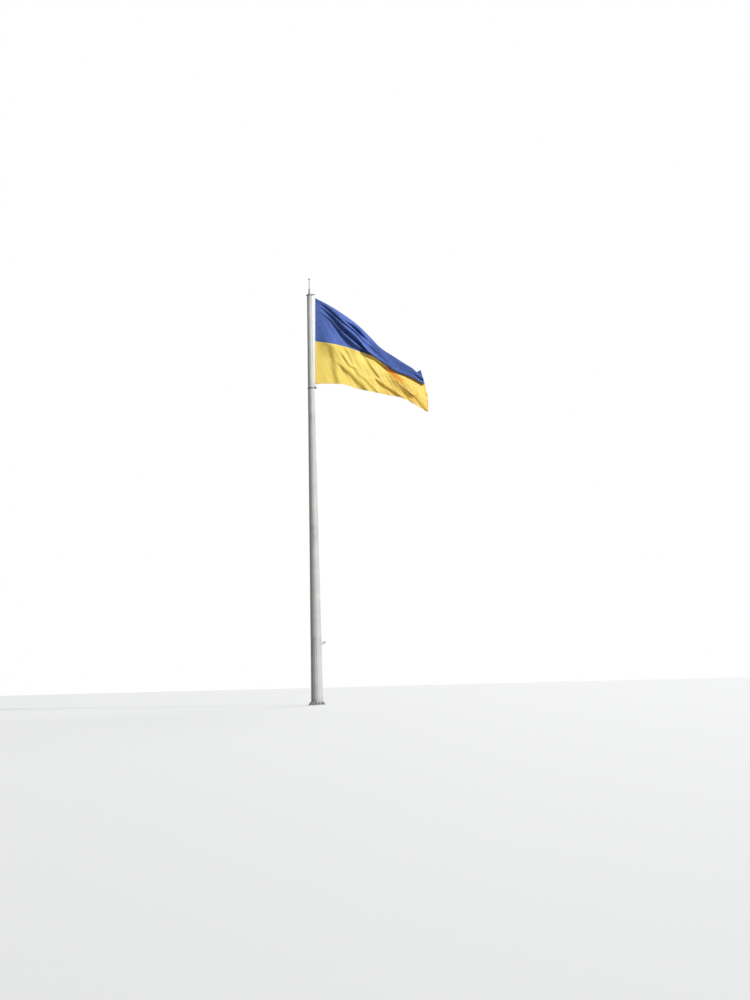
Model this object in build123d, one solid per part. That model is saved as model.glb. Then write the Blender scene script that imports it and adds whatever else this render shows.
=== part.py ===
from build123d import *
import math
import os

os.makedirs("parts", exist_ok=True)

# Revolving-head flagpole, millimetres, +Z up, the base face at z = 0 with the mast axis on x = y = 0.
# The flag flies toward +X.

# Mast shells
SIDES = 16
BASE_ACROSS = 1045.0
TAPER_PER_MM = 0.01708
WALLS = (8.0, 6.0, 5.0, 4.0)
SLIP_GAP = 0.3
FLANGE_T = 45.0
SLIP_RIMS = (5830.0, 15670.0, 25690.0)
SLIP_OVERLAPS = (1450.0, 1200.0, 950.0)
MAST_TOP = 36880.0

# Base flange and gussets
FLANGE_R = 750.0
FLANGE_BORE_R = 425.0
BOLT_COUNT = 16
BOLT_PCD = 1300.0
BOLT_HOLE_R = 24.0
GUSSET_T = 14.0
GUSSET_H = 260.0
GUSSET_FOOT_R = 725.0
GUSSET_TOE_H = 30.0
GUSSET_TOP_W = 30.0

# Service door on the -X side
DOOR_Z = 1300.0
DOOR_OPENING_W = 300.0
DOOR_OPENING_H = 1200.0
DOOR_CORNER_R = 110.0
DOOR_GAP = 4.0
FRAME_LAP = 18.0
FRAME_REACH = 34.0
FRAME_DEPTH = 60.0
HINGE_OFFSET_Z = 400.0
HINGE_LEAF_W = 52.0
HINGE_LEAF_H = 90.0
HINGE_LEAF_T = 6.0
HINGE_BARREL_R = 9.0
LOCK_R = 21.0
LOCK_H = 12.0
LOCK_OFFSET_Z = 330.0

# Small fittings of the mast
EARTH_LUG = (60.0, 90.0, 12.0)
EARTH_LUG_Z = 420.0
EARTH_HOLE_R = 7.0
JACK_LUG = (40.0, 90.0, 30.0)
JACK_LUG_RISE = 130.0
JACK_HOLE_R = 11.0

# Floodlight on the +X side
LAMP_X = 730.0
LAMP_Z = 5470.0
LAMP_TILT = 14.0
LAMP_BODY = (392.0, 320.0, 92.0)
LAMP_CORNER_R = 22.0
LAMP_RIM = 16.0
LAMP_RECESS = 14.0
LAMP_GLASS_T = 6.0
LAMP_ARM = 50.0
LAMP_ARM_WALL = 4.0
LAMP_PLATE = (130.0, 190.0, 8.0)
YOKE_W = 50.0
YOKE_T = 6.0
YOKE_DROP = 140.0
YOKE_SIDE_GAP = 0.3

# Head
HEAD_PLATE_R = 240.0
HEAD_PLATE_T = 20.0
SLIDE_RING_R = 130.0
SLIDE_RING_BORE_R = 76.0
SLIDE_RING_T = 8.0
RUN_GAP = 0.3
SPINDLE_R = 70.0
SPINDLE_BORE_R = 55.0
SPINDLE_RUN_GAP = 1.0
DISC_R = 300.0
DISC_T = 12.0
SKIRT_H = 44.0
SKIRT_T = 6.0
HOUSING_R = 138.0
HOUSING_WALL_H = 120.0
HOUSING_ROOF_H = 58.0
HOUSING_T = 8.0
CAP_CLEAR = 8.0
CAP_R = 104.0
CAP_T = 8.0
SOCKET_R = 88.0
SOCKET_WALL = 6.0
SOCKET_H = 360.0
SOCKET_TOP_T = 12.0
FERRULE_R = 60.0
FERRULE_H = 60.0
ROD_R = 36.0
ROD_WALL = 4.0
ROD_L = 800.0
LIGHT_FOOT_R = 70.0
LIGHT_FOOT_H = 50.0
LENS_R = 84.0
LENS_H = 140.0
LIGHT_CAP_R = 26.0
LIGHT_CAP_H = 30.0

# Truck arm, sheave and halyard
ARM_END_X = 512.0
ARM_PLATE_T = 8.0
ARM_PLATE_H = 84.0
ARM_GAP = 34.0
SHEAVE_R = 40.0
SHEAVE_W = 22.0
SHEAVE_GROOVE = 7.0
PIN_R = 9.0
HALYARD_R = 5.0
FIT_GAP = 0.3

# Collar at the foot of the flag
COLLAR_Z = 28225.0
TRACK_R = 312.0
TRACK_H = 64.0
TRACK_FLANGE_R = 326.0
TRACK_FLANGE_T = 8.0
COLLAR_GAP = 5.0
COLLAR_T = 12.0
COLLAR_H = 56.0
COLLAR_SPLIT = 8.0
EAR = (34.0, 26.0, 14.0)
BRACKET_T = 12.0
BRACKET_H = 270.0
BRACKET_L = 185.0
HALYARD_FOOT_X = 341.0
HALYARD_FOOT_Z = 28520.0
SWIVEL_R = 11.0

# Snap hooks along the hoist
HOOK_COUNT = 9
HOOK_END_INSET = 70.0
HOOK_EYE_R = 11.0
HOOK_EYE_H = 20.0
HOOK_SHANK = 9.0

# Flag
FLAG_HOIST = 8000.0
FLAG_FLY = 12000.0
FLAG_T = 15.0
FLAG_HEAD = (520.0, 36620.0)
EYE_BACK = 122800.0
EYE_UP = 1600.0


def across(section, z):
    """Outer distance across flats of one shell at a height."""
    steps = sum(2.0 * (wall + SLIP_GAP) for wall in WALLS[1:section + 1])
    return BASE_ACROSS - TAPER_PER_MM * z + steps


TILT = math.atan(TAPER_PER_MM / 2.0)


def prism(z0, z1, across0):
    """Sixteen-sided tapered solid with one flat facing +X."""
    outline = RegularPolygon(radius=across0 / 2.0, side_count=SIDES, major_radius=False,
                             rotation=180.0 / SIDES)
    return extrude(Plane.XY.offset(z0) * outline, amount=z1 - z0, taper=math.degrees(TILT))


def shell(section, z0, z1):
    """Hollow tapered shell."""
    outer = prism(z0, z1, across(section, z0))
    inner = prism(z0, z1, across(section, z0) - 2.0 * WALLS[section])
    return outer - inner


def facet(section, angle, z, shift=0.0):
    """Plane on an outer flat: local x across the flat, local y up, local z outward."""
    a = math.radians(angle)
    r = across(section, z) / 2.0
    out = Vector(math.cos(a) * math.cos(TILT), math.sin(a) * math.cos(TILT), math.sin(TILT))
    side = Vector(-math.sin(a), math.cos(a), 0.0)
    origin = Vector(math.cos(a) * r, math.sin(a) * r, z) + side * shift
    return Plane(origin=origin, x_dir=side, z_dir=out)


def ring(r_out, r_in, z, height):
    """Flat ring about the mast axis."""
    disc = Cylinder(r_out, height, align=(Align.CENTER, Align.CENTER, Align.MIN))
    if r_in > 0.0:
        disc = disc - Cylinder(r_in, height, align=(Align.CENTER, Align.CENTER, Align.MIN))
    return Pos(0, 0, z) * disc


def turned(points):
    """Body of revolution from (radius, height) points."""
    wire = Polyline([(r, 0.0, z) for r, z in points], close=True)
    return revolve(make_face(wire), axis=Axis.Z, revolution_arc=360.0)


def save(name, shape):
    """Write one node."""
    export_step(shape, "parts/" + name + ".step")


# Mast shells
ends = [(FLANGE_T, SLIP_RIMS[0] + SLIP_OVERLAPS[0])]
ends.append((SLIP_RIMS[0], SLIP_RIMS[1] + SLIP_OVERLAPS[1]))
ends.append((SLIP_RIMS[1], SLIP_RIMS[2] + SLIP_OVERLAPS[2]))
ends.append((SLIP_RIMS[2], MAST_TOP))
shells = [shell(k, z0, z1) for k, (z0, z1) in enumerate(ends)]


def door_block(grow, depth):
    """Rounded upright block through the -X wall, wider than the opening by grow on each side."""
    outline = RectangleRounded(DOOR_OPENING_W + 2.0 * grow, DOOR_OPENING_H + 2.0 * grow,
                               DOOR_CORNER_R + grow)
    start = across(0, DOOR_Z) / 2.0 + 40.0
    plane = Plane(origin=(-start, 0, DOOR_Z), x_dir=(0, -1, 0), z_dir=(1, 0, 0))
    return extrude(plane * outline, amount=depth)


opening = door_block(0.0, 200.0)
door = shells[0] & door_block(-DOOR_GAP, 200.0)
shells[0] = shells[0] - opening
cavity = prism(FLANGE_T, ends[0][1], across(0, FLANGE_T) - 2.0 * WALLS[0])
door_frame = door_block(FRAME_REACH, 40.0 + WALLS[0] + FRAME_DEPTH) - door_block(-FRAME_LAP, 300.0)
door_frame = door_frame & cavity
for k, body in enumerate(shells):
    save("mast_section_" + str(k + 1), body)
save("service_door", door)
save("door_frame", door_frame)

# Door hinges on one long edge and locks by the other
EDGE_FACET = 180.0 + 360.0 / SIDES
LOCK_FACET = 180.0 - 360.0 / SIDES
half_flat = across(0, DOOR_Z) / 2.0 * math.tan(math.pi / SIDES)
edge_shift = (DOOR_OPENING_W / 2.0 - half_flat) / math.cos(2.0 * math.pi / SIDES) - half_flat
hinges = []
for dz in (-HINGE_OFFSET_Z, HINGE_OFFSET_Z):
    base = facet(0, EDGE_FACET, DOOR_Z + dz, edge_shift)
    leaf = base * Pos(0, 0, HINGE_LEAF_T / 2.0) * Box(HINGE_LEAF_W, HINGE_LEAF_H, HINGE_LEAF_T)
    barrel = base * Pos(0, 0, HINGE_LEAF_T) * Rot(90, 0, 0) * Cylinder(HINGE_BARREL_R, HINGE_LEAF_H)
    barrel = barrel - base * Pos(0, 0, -20.0) * Box(60.0, 200.0, 40.0)
    hinges.append(leaf + barrel)
save("door_hinges", Compound(children=[h for h in hinges]))
locks = []
for dz in (-LOCK_OFFSET_Z, LOCK_OFFSET_Z):
    base = facet(0, LOCK_FACET, DOOR_Z + dz, half_flat - 24.0)
    locks.append(base * Pos(0, 0, LOCK_H / 2.0) * Cylinder(LOCK_R, LOCK_H))
save("door_locks", Compound(children=locks))

# Base flange and gussets
flange = ring(FLANGE_R, FLANGE_BORE_R, 0.0, FLANGE_T)
BOLT_TURN = 180.0 / BOLT_COUNT
with_holes = PolarLocations(BOLT_PCD / 2.0, BOLT_COUNT, start_angle=BOLT_TURN)
flange = flange - [loc * Cylinder(BOLT_HOLE_R, 4.0 * FLANGE_T) for loc in with_holes]
save("base_flange", flange)
g0 = across(0, FLANGE_T) / 2.0
g1 = across(0, FLANGE_T + GUSSET_H) / 2.0
profile = Polyline([(g0, 0, FLANGE_T), (GUSSET_FOOT_R, 0, FLANGE_T),
                    (GUSSET_FOOT_R, 0, FLANGE_T + GUSSET_TOE_H),
                    (g1 + GUSSET_TOP_W, 0, FLANGE_T + GUSSET_H),
                    (g1, 0, FLANGE_T + GUSSET_H)], close=True)
gusset = extrude(make_face(profile), amount=GUSSET_T / 2.0, both=True)
save("base_gussets", Compound(children=[Rot(0, 0, k * 360.0 / SIDES) * gusset for k in range(SIDES)]))

# Earthing lug and slip-joint lugs
lug_plane = facet(0, 90.0, EARTH_LUG_Z)
lug = lug_plane * Pos(0, 0, EARTH_LUG[2] / 2.0) * Box(*EARTH_LUG)
lug = lug - lug_plane * Cylinder(EARTH_HOLE_R, 4.0 * EARTH_LUG[2])
save("earthing_lug", lug)
for k, rim in enumerate(SLIP_RIMS):
    lugs = []
    for angle in (90.0, 270.0):
        for level, dz in ((k, -JACK_LUG_RISE), (k + 1, JACK_LUG_RISE)):
            base = facet(level, angle, rim + dz)
            block = base * Pos(0, 0, JACK_LUG[2] / 2.0) * Box(*JACK_LUG)
            hole = base * Pos(0, 0, JACK_LUG[2] / 2.0 + 2.0) * Rot(90, 0, 0) * Cylinder(JACK_HOLE_R, 300.0)
            lugs.append(block - hole)
    save("slip_lugs_" + str(k + 1), Compound(children=lugs))

# Head plate, slide ring, spindle and light mast
plate_top = MAST_TOP + HEAD_PLATE_T
save("head_plate", ring(HEAD_PLATE_R, SPINDLE_BORE_R, MAST_TOP, HEAD_PLATE_T))
save("slide_ring", ring(SLIDE_RING_R, SLIDE_RING_BORE_R, plate_top, SLIDE_RING_T))
disc_z = plate_top + SLIDE_RING_T + RUN_GAP
housing_z = disc_z + DISC_T
housing_top = housing_z + HOUSING_WALL_H + HOUSING_ROOF_H
cap_z = housing_top + CAP_CLEAR
save("spindle", ring(SPINDLE_R, SPINDLE_BORE_R, plate_top, cap_z - plate_top))
socket_z = cap_z + CAP_T
socket_top = socket_z + SOCKET_H
save("rod_socket", turned([(SPINDLE_BORE_R, cap_z), (CAP_R, cap_z), (CAP_R, socket_z),
                           (SOCKET_R, socket_z), (SOCKET_R, socket_top), (FERRULE_R, socket_top + SOCKET_TOP_T),
                           (ROD_R - ROD_WALL, socket_top + SOCKET_TOP_T), (ROD_R - ROD_WALL, socket_top),
                           (SOCKET_R - SOCKET_WALL, socket_top), (SOCKET_R - SOCKET_WALL, socket_z),
                           (SPINDLE_BORE_R, socket_z)]))
rod_z = socket_top + SOCKET_TOP_T
ferrule = turned([(ROD_R + FIT_GAP, rod_z), (FERRULE_R, rod_z), (ROD_R + 8.0, rod_z + FERRULE_H),
                  (ROD_R + FIT_GAP, rod_z + FERRULE_H)])
save("rod_ferrule", ferrule)
save("light_mast", ring(ROD_R, ROD_R - ROD_WALL, rod_z, ROD_L))
rod_top = rod_z + ROD_L
save("obstruction_light_base", turned([(0, rod_top), (ROD_R + 8.0, rod_top),
                                       (LIGHT_FOOT_R, rod_top + 20.0), (LIGHT_FOOT_R, rod_top + LIGHT_FOOT_H),
                                       (0, rod_top + LIGHT_FOOT_H)]))
lens_z = rod_top + LIGHT_FOOT_H
lens_top = lens_z + LENS_H
save("obstruction_light_lens", turned([(0, lens_z), (LENS_R, lens_z), (LENS_R, lens_top - 50.0),
                                       (LENS_R - 9.0, lens_top - 24.0), (LENS_R - 30.0, lens_top - 6.0),
                                       (LENS_R - 48.0, lens_top), (0, lens_top)]))
cap_top = lens_top + LIGHT_CAP_H
save("obstruction_light_cap", turned([(0, lens_top), (LIGHT_CAP_R, lens_top), (0.75 * LIGHT_CAP_R, cap_top),
                                      (0, cap_top)]))

# Revolving truck
disc = turned([(SPINDLE_R + SPINDLE_RUN_GAP, disc_z), (DISC_R - SKIRT_T, disc_z),
               (DISC_R - SKIRT_T, housing_z - SKIRT_H), (DISC_R, housing_z - SKIRT_H),
               (DISC_R, housing_z), (SPINDLE_R + SPINDLE_RUN_GAP, housing_z)])
save("truck_disc", disc)
wall_top = housing_z + HOUSING_WALL_H
neck_r = SPINDLE_R + SPINDLE_RUN_GAP
housing = turned([(HOUSING_R - HOUSING_T, housing_z), (HOUSING_R, housing_z), (HOUSING_R, wall_top),
                  (neck_r + HOUSING_T, housing_top), (neck_r, housing_top), (neck_r, housing_top - HOUSING_T),
                  (HOUSING_R - HOUSING_T, wall_top - 4.0)])
arm_z = housing_z
sheave_x = FLAG_HEAD[0] - 46.0 - SHEAVE_R + SHEAVE_GROOVE
sheave_z = arm_z + ARM_PLATE_H / 2.0
halyard_top_z = sheave_z + SHEAVE_R - SHEAVE_GROOVE + HALYARD_R + FIT_GAP
port = Pos(HOUSING_R, 0, halyard_top_z) * Rot(0, 90, 0) * Cylinder(HALYARD_R + 5.0, 60.0)
save("truck_housing", housing - port)
cheeks = []
for side in (-1.0, 1.0):
    y = side * (ARM_GAP + ARM_PLATE_T) / 2.0
    inner_x = math.sqrt(HOUSING_R ** 2 - (ARM_GAP / 2.0) ** 2) + FIT_GAP
    outline = Polyline([(inner_x, y, arm_z), (ARM_END_X - 24.0, y, arm_z), (ARM_END_X, y, arm_z + 24.0),
                        (ARM_END_X, y, arm_z + ARM_PLATE_H - 18.0), (ARM_END_X - 18.0, y, arm_z + ARM_PLATE_H),
                        (inner_x, y, arm_z + ARM_PLATE_H)], close=True)
    plate = extrude(make_face(outline), amount=ARM_PLATE_T / 2.0, both=True)
    cheeks.append(plate - Pos(sheave_x, y, sheave_z) * Rot(90, 0, 0) * Cylinder(PIN_R + FIT_GAP, 60.0))
save("truck_arm", Compound(children=cheeks))
sheave = Pos(sheave_x, 0, sheave_z) * Rot(90, 0, 0)
groove_r = SHEAVE_R - SHEAVE_GROOVE
wheel_pts = [(PIN_R + FIT_GAP, -SHEAVE_W / 2.0), (SHEAVE_R, -SHEAVE_W / 2.0), (groove_r, -HALYARD_R),
             (groove_r, HALYARD_R), (SHEAVE_R, SHEAVE_W / 2.0), (PIN_R + FIT_GAP, SHEAVE_W / 2.0)]
save("tip_sheave", sheave * turned(wheel_pts))
pin_half = ARM_GAP / 2.0 + ARM_PLATE_T
pin = sheave * Cylinder(PIN_R, 2.0 * pin_half + 16.0)
for side in (-1.0, 1.0):
    head = Pos(0, 0, side * (pin_half + 4.0)) * Cylinder(PIN_R + 6.0, 8.0)
    pin = pin + sheave * head
save("sheave_pin", pin)

# Halyard: up the hoist, over the sheave and into the housing
pitch_r = groove_r + HALYARD_R + FIT_GAP
lean = math.atan2(sheave_x + pitch_r - HALYARD_FOOT_X, sheave_z - HALYARD_FOOT_Z)
touch = (sheave_x + pitch_r * math.cos(lean), 0.0, sheave_z - pitch_r * math.sin(lean))
mid = 0.5 * (math.pi / 2.0 - lean)
over = (sheave_x + pitch_r * math.cos(mid), 0.0, sheave_z + pitch_r * math.sin(mid))
top = (sheave_x, 0.0, sheave_z + pitch_r)
foot = (HALYARD_FOOT_X, 0.0, HALYARD_FOOT_Z)
path = Wire([Line(foot, touch).edge(), ThreePointArc(touch, over, top).edge(),
             Line(top, (HOUSING_R - HOUSING_T, 0.0, top[2])).edge()])
start = Plane(origin=foot, z_dir=Vector(*touch) - Vector(*foot))
save("halyard", sweep(start * Circle(HALYARD_R), path=path))


def halyard_x(z):
    """Halyard centre line at a height."""
    return foot[0] + (touch[0] - foot[0]) * (z - foot[2]) / (touch[2] - foot[2])


# Collar track on the mast and the revolving collar
track = turned([(280.0, COLLAR_Z - TRACK_FLANGE_T), (TRACK_FLANGE_R, COLLAR_Z - TRACK_FLANGE_T),
                (TRACK_FLANGE_R, COLLAR_Z), (TRACK_R, COLLAR_Z), (TRACK_R, COLLAR_Z + TRACK_H),
                (280.0, COLLAR_Z + TRACK_H)])
track = track - prism(COLLAR_Z - 100.0, COLLAR_Z + 200.0, across(3, COLLAR_Z - 100.0))
save("collar_track", track)
collar_in = TRACK_R + COLLAR_GAP
collar_out = collar_in + COLLAR_T
collar_base = COLLAR_Z + RUN_GAP
collar = ring(collar_out, collar_in, collar_base, COLLAR_H)
collar = collar - Pos(0, 0, collar_base) * Box(COLLAR_SPLIT, 3.0 * collar_out, 4.0 * COLLAR_H)
halves = collar.solids()
for k, half in enumerate(sorted(halves, key=lambda s: -s.center().X)):
    save("collar_half_" + str(k + 1), half)
ears = []
for sy in (-1.0, 1.0):
    for sx in (-1.0, 1.0):
        x = sx * (COLLAR_SPLIT / 2.0 + EAR[2] / 2.0)
        y = sy * (collar_out + EAR[0] / 2.0 - 3.0)
        ear = Pos(x, y, collar_base + COLLAR_H / 2.0) * Box(EAR[2], EAR[0], COLLAR_H - 8.0)
        ear = ear - ring(collar_out, 0.0, collar_base - 1.0, COLLAR_H + 2.0)
        hole = Pos(x, y + sy * 2.0, collar_base + COLLAR_H / 2.0) * Rot(0, 90, 0) * Cylinder(7.0, 80.0)
        ears.append(ear - hole)
save("collar_ears", Compound(children=ears))
bx = collar_out
bracket = Polyline([(bx - 6.0, 0, collar_base), (bx + BRACKET_L, 0, collar_base),
                    (bx + BRACKET_L, 0, collar_base + 12.0), (bx + 30.0, 0, collar_base + BRACKET_H),
                    (bx, 0, collar_base + BRACKET_H), (bx, 0, collar_base + COLLAR_H), (bx - 6.0, 0, collar_base + COLLAR_H)],
                   close=True)
bracket = extrude(make_face(bracket), amount=BRACKET_T / 2.0, both=True)
bracket = bracket - ring(collar_out, 0.0, collar_base - 1.0, COLLAR_H + 1.0)
save("collar_bracket", bracket)
eye_z = collar_base + BRACKET_H
swivel_h = HALYARD_FOOT_Z - FIT_GAP - eye_z
tack = Pos(HALYARD_FOOT_X, 0, eye_z) * Cylinder(SWIVEL_R, swivel_h,
                                               align=(Align.CENTER, Align.CENTER, Align.MIN))
save("tack_swivel", tack)

# Flag: cloth lines leave the head edge and fold in lobes that fan out from the head corner
HEAD_SLOPE = (28.0, 36.5, 48.5, 34.0, 31.5)
UPPER_GATHER = (1.0, 0.745, 0.48, 0.37, 0.27)
LOWER_GATHER = (1.0, 0.89, 0.825, 0.62, 0.635)
UPPER_LEAN = (-1.13, 0.8, 8.7, 12.8, 12.6)
LOWER_LEAN = (-1.13, -1.5, -0.3, 6.5, 4.7)
LOBE_ENDS = ((100.0, 700.0, 950.0, 1100.0, 1000.0), (200.0, 1150.0, 1500.0, 1200.0, 1050.0),
             (300.0, 1600.0, 2300.0, 2150.0, 2100.0), (750.0, 3500.0, 4700.0, 4250.0, 4150.0),
             (4200.0, 5000.0, 5400.0, 5600.0, 6200.0), (6000.0, 6500.0, 6300.0, 6600.0, 7000.0),
             (7400.0, 7400.0, 7500.0, 7800.0, 8100.0))
NEAR_LOBES = (-0.8, 1.0, -0.7, 1.1, -0.5, 0.25, -0.5, 0.5)
FLY_LOBES = (-0.9, 0.6, -1.0, 1.2, -1.0, 0.8, -1.0, 0.7)
LOBES_CHANGE = (0.45, 0.75)
MAX_FOLD = 1.4
SEAM_EASE = 350.0
SLANT_PITCH = 1780.0
SLANT_START = 1150.0
SLANT_DRIFT = 0.42
SLANT_DEPTH = (0.0, 170.0, 170.0, 75.0, 60.0)


def blend(values, t):
    """Smooth reading of an evenly spaced list."""
    last = len(values) - 1
    s = min(max(t, 0.0), 1.0) * last
    i = min(int(s), last - 1)
    f = s - i
    a, b = values[i], values[i + 1]
    before = values[i - 1] if i > 0 else 2.0 * a - b
    after = values[i + 2] if i + 2 <= last else 2.0 * b - a
    slope_a = (b - before) / 2.0
    slope_b = (after - a) / 2.0
    g = b - a
    return a + f * (slope_a + f * (3.0 * g - 2.0 * slope_a - slope_b + f * (slope_a + slope_b - 2.0 * g)))


def smooth(low, high, value):
    """Step that eases from 0 to 1."""
    t = min(max((value - low) / (high - low), 0.0), 1.0)
    return t * t * (3.0 - 2.0 * t)


def head_edge(u):
    """Point of the flag's top edge."""
    steps = 40
    x, z = FLAG_HEAD
    ds = FLAG_FLY * u / steps
    for i in range(steps):
        a = math.radians(blend(HEAD_SLOPE, u * (i + 0.5) / steps))
        x += ds * math.cos(a)
        z -= ds * math.sin(a)
    return x, z


def lobe(u, v, ends):
    """Relative fold angle at a distance down a cloth line."""
    k = sum(1 for end in ends[1:-1] if v > end)
    t = (v - ends[k]) / (ends[k + 1] - ends[k])
    far = smooth(LOBES_CHANGE[0], LOBES_CHANGE[1], u)
    strength = NEAR_LOBES[k] * (1.0 - far) + FLY_LOBES[k] * far
    return strength * math.sin(math.pi * min(max(t, 0.0), 1.0))


def fold_scale(u, ends, v0, v1, gather):
    """Fold angle that shortens a stretch of cloth line to its gathered height."""
    low, high = 0.0, 3.0
    lobes = [lobe(u, v0 + (v1 - v0) * (i + 0.5) / 60.0, ends) for i in range(60)]
    for _ in range(24):
        scale = 0.5 * (low + high)
        mean = sum(math.cos(min(MAX_FOLD, abs(scale * value))) for value in lobes) / 60.0
        low, high = (scale, high) if mean > gather else (low, scale)
    return scale


def cloth_line(u, count):
    """Points of one cloth line from the head edge to the foot edge."""
    x, z = head_edge(u)
    seam_v = FLAG_HOIST / 2.0
    ends = [-300.0] + [blend(row, u) for row in LOBE_ENDS] + [FLAG_HOIST + 1500.0]
    upper = fold_scale(u, ends, 0.0, seam_v, blend(UPPER_GATHER, u))
    lower = fold_scale(u, ends, seam_v, FLAG_HOIST, blend(LOWER_GATHER, u))
    sub = 10
    dv = FLAG_HOIST / (count * sub)
    y = 0.0
    points = [(x, y, z)]
    for i in range(count * sub):
        v = (i + 0.5) * dv
        mix = smooth(seam_v - SEAM_EASE, seam_v + SEAM_EASE, v)
        a = (upper * (1.0 - mix) + lower * mix) * lobe(u, v, ends)
        a = min(MAX_FOLD, max(-MAX_FOLD, a))
        lean_deg = blend(UPPER_LEAN, u) * (1.0 - mix) + blend(LOWER_LEAN, u) * mix
        lean_rad = math.radians(lean_deg)
        x += dv * math.cos(a) * math.sin(lean_rad)
        z -= dv * math.cos(a) * math.cos(lean_rad)
        y += dv * math.sin(a)
        if (i + 1) % sub == 0:
            points.append((x, y, z))
    mean_y = sum(p[1] for p in points) / len(points) * min(1.0, u * 3.0)
    out = []
    for i, (px, py, pz) in enumerate(points):
        v = i * dv * sub
        turn = (u * FLAG_FLY - SLANT_START - SLANT_DRIFT * (v - seam_v)) / SLANT_PITCH
        wave = blend(SLANT_DEPTH, u) * smooth(3400.0, 5000.0, v) * math.sin(2.0 * math.pi * turn)
        py = py - mean_y - wave * smooth(0.0, 0.1, u)
        scale = (EYE_BACK + py) / EYE_BACK
        out.append(Vector(px * scale, py, EYE_UP + (pz - EYE_UP) * scale))
    return out


U_LINES = 24
V_STEPS = 40
lines = [cloth_line(i / U_LINES, V_STEPS) for i in range(U_LINES + 1)]


def faces_of(lines):
    """Front and back points of the cloth."""
    nu = len(lines)
    front, back = [], []
    for i in range(nu):
        f_row, b_row = [], []
        for j in range(V_STEPS + 1):
            du = lines[min(i + 1, nu - 1)][j] - lines[max(i - 1, 0)][j]
            dv = lines[i][min(j + 1, V_STEPS)] - lines[i][max(j - 1, 0)]
            n = Vector(0, 1, 0) if i == 0 else du.cross(dv).normalized()
            f_row.append(lines[i][j] - n * (FLAG_T / 2.0))
            b_row.append(lines[i][j] + n * (FLAG_T / 2.0))
        front.append(f_row)
        back.append(b_row)
    return front, back


SEAM = V_STEPS // 2


def section(near, far):
    """Closed outline of one cloth line, parted at the seam."""
    return Wire([Edge.make_spline(near[:SEAM + 1]), Edge.make_spline(near[SEAM:]),
                 Edge.make_line(near[-1], far[-1]), Edge.make_spline(far[SEAM:][::-1]),
                 Edge.make_spline(far[:SEAM + 1][::-1]), Edge.make_line(far[0], near[0])])


def closest(shapes, point):
    """Shape that passes nearest a point."""
    return min(shapes, key=lambda item: item.distance_to(Vertex(*point)))


near, far = faces_of(lines)
skins = Solid.make_loft([section(f, b) for f, b in zip(near, far)]).faces()
middle = U_LINES // 2
bands = (("flag_upper_band", 0, SEAM, 0), ("flag_lower_band", SEAM, V_STEPS, V_STEPS))
for name, j0, j1, rim in bands:
    j = (j0 + j1) // 2
    near_skin = closest(skins, near[middle][j])
    far_skin = closest(skins, far[middle][j])
    hem = closest(skins, (near[middle][rim] + far[middle][rim]) * 0.5)
    near_seam = closest(near_skin.edges(), near[middle][SEAM])
    far_seam = closest(far_skin.edges(), far[middle][SEAM])
    if (near_seam @ 0 - far_seam @ 0).length > 2.0 * FLAG_T:
        far_seam = far_seam.reversed()
    seam_wall = Face.make_surface_from_curves(near_seam, far_seam)
    rims = [Face.make_surface_from_curves(Edge.make_spline(near[k][j0:j1 + 1]), Edge.make_spline(far[k][j0:j1 + 1]))
            for k in (0, -1)]
    save(name, Solid(Shell([near_skin, far_skin, hem, seam_wall] + rims)))

# Snap hooks from the halyard to the hoist edge
hooks = []
edge_head = lines[0][0]
edge_foot = lines[0][-1]
for k in range(HOOK_COUNT):
    z = edge_head.Z - HOOK_END_INSET
    z -= k * (edge_head.Z - edge_foot.Z - 2.0 * HOOK_END_INSET) / (HOOK_COUNT - 1)
    edge_x = edge_head.X + (edge_foot.X - edge_head.X) * (edge_head.Z - z) / (edge_head.Z - edge_foot.Z)
    cord_x = halyard_x(z)
    eye = Pos(cord_x, 0, z) * Rot(0, math.degrees(lean), 0) * Cylinder(HOOK_EYE_R, HOOK_EYE_H)
    reach = edge_x - FIT_GAP - cord_x
    shank = Pos(cord_x + reach / 2.0, 0, z) * Box(reach, HOOK_SHANK, HOOK_SHANK)
    bore = Pos(cord_x, 0, z) * Rot(0, math.degrees(lean), 0) * Cylinder(HALYARD_R + FIT_GAP, 80.0)
    hooks.append(eye + shank - bore)
save("snap_hooks", Compound(children=hooks))

# Floodlight
plate_z = LAMP_Z - YOKE_DROP - LAMP_ARM / 2.0
pad = facet(0, 0.0, plate_z)
pad_plate = pad * Pos(0, 0, LAMP_PLATE[2] / 2.0) * Box(*LAMP_PLATE)
pad_x = across(0, plate_z) / 2.0 + LAMP_PLATE[2]
arm_end = LAMP_X + YOKE_W / 2.0
arm_len = arm_end - pad_x + 2.0
arm = Pos((arm_end + pad_x - 2.0) / 2.0, 0, plate_z) * Box(arm_len, LAMP_ARM, LAMP_ARM)
hollow = LAMP_ARM - 2.0 * LAMP_ARM_WALL
arm = arm - Pos((arm_end + pad_x) / 2.0 + 20.0, 0, plate_z) * Box(arm_len, hollow, hollow)
save("floodlight_bracket", pad_plate + (arm - pad * Pos(0, 0, -50.0) * Box(400.0, 400.0, 100.0)))
yoke_z = plate_z + LAMP_ARM / 2.0
side_y = LAMP_BODY[1] / 2.0 + YOKE_SIDE_GAP
yoke = Pos(LAMP_X, 0, yoke_z + YOKE_T / 2.0) * Box(YOKE_W, 2.0 * (side_y + YOKE_T), YOKE_T)
yoke_h = LAMP_Z - yoke_z + YOKE_W / 2.0
for side in (-1.0, 1.0):
    upright = Pos(LAMP_X, side * (side_y + YOKE_T / 2.0), yoke_z + yoke_h / 2.0)
    yoke = yoke + upright * Box(YOKE_W, YOKE_T, yoke_h)
save("floodlight_yoke", yoke)
lamp_at = Pos(LAMP_X, 0, LAMP_Z) * Rot(0, -LAMP_TILT, 0)
lamp = Box(*LAMP_BODY)
lamp = fillet(lamp.edges().filter_by(Axis.Z), LAMP_CORNER_R)
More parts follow.
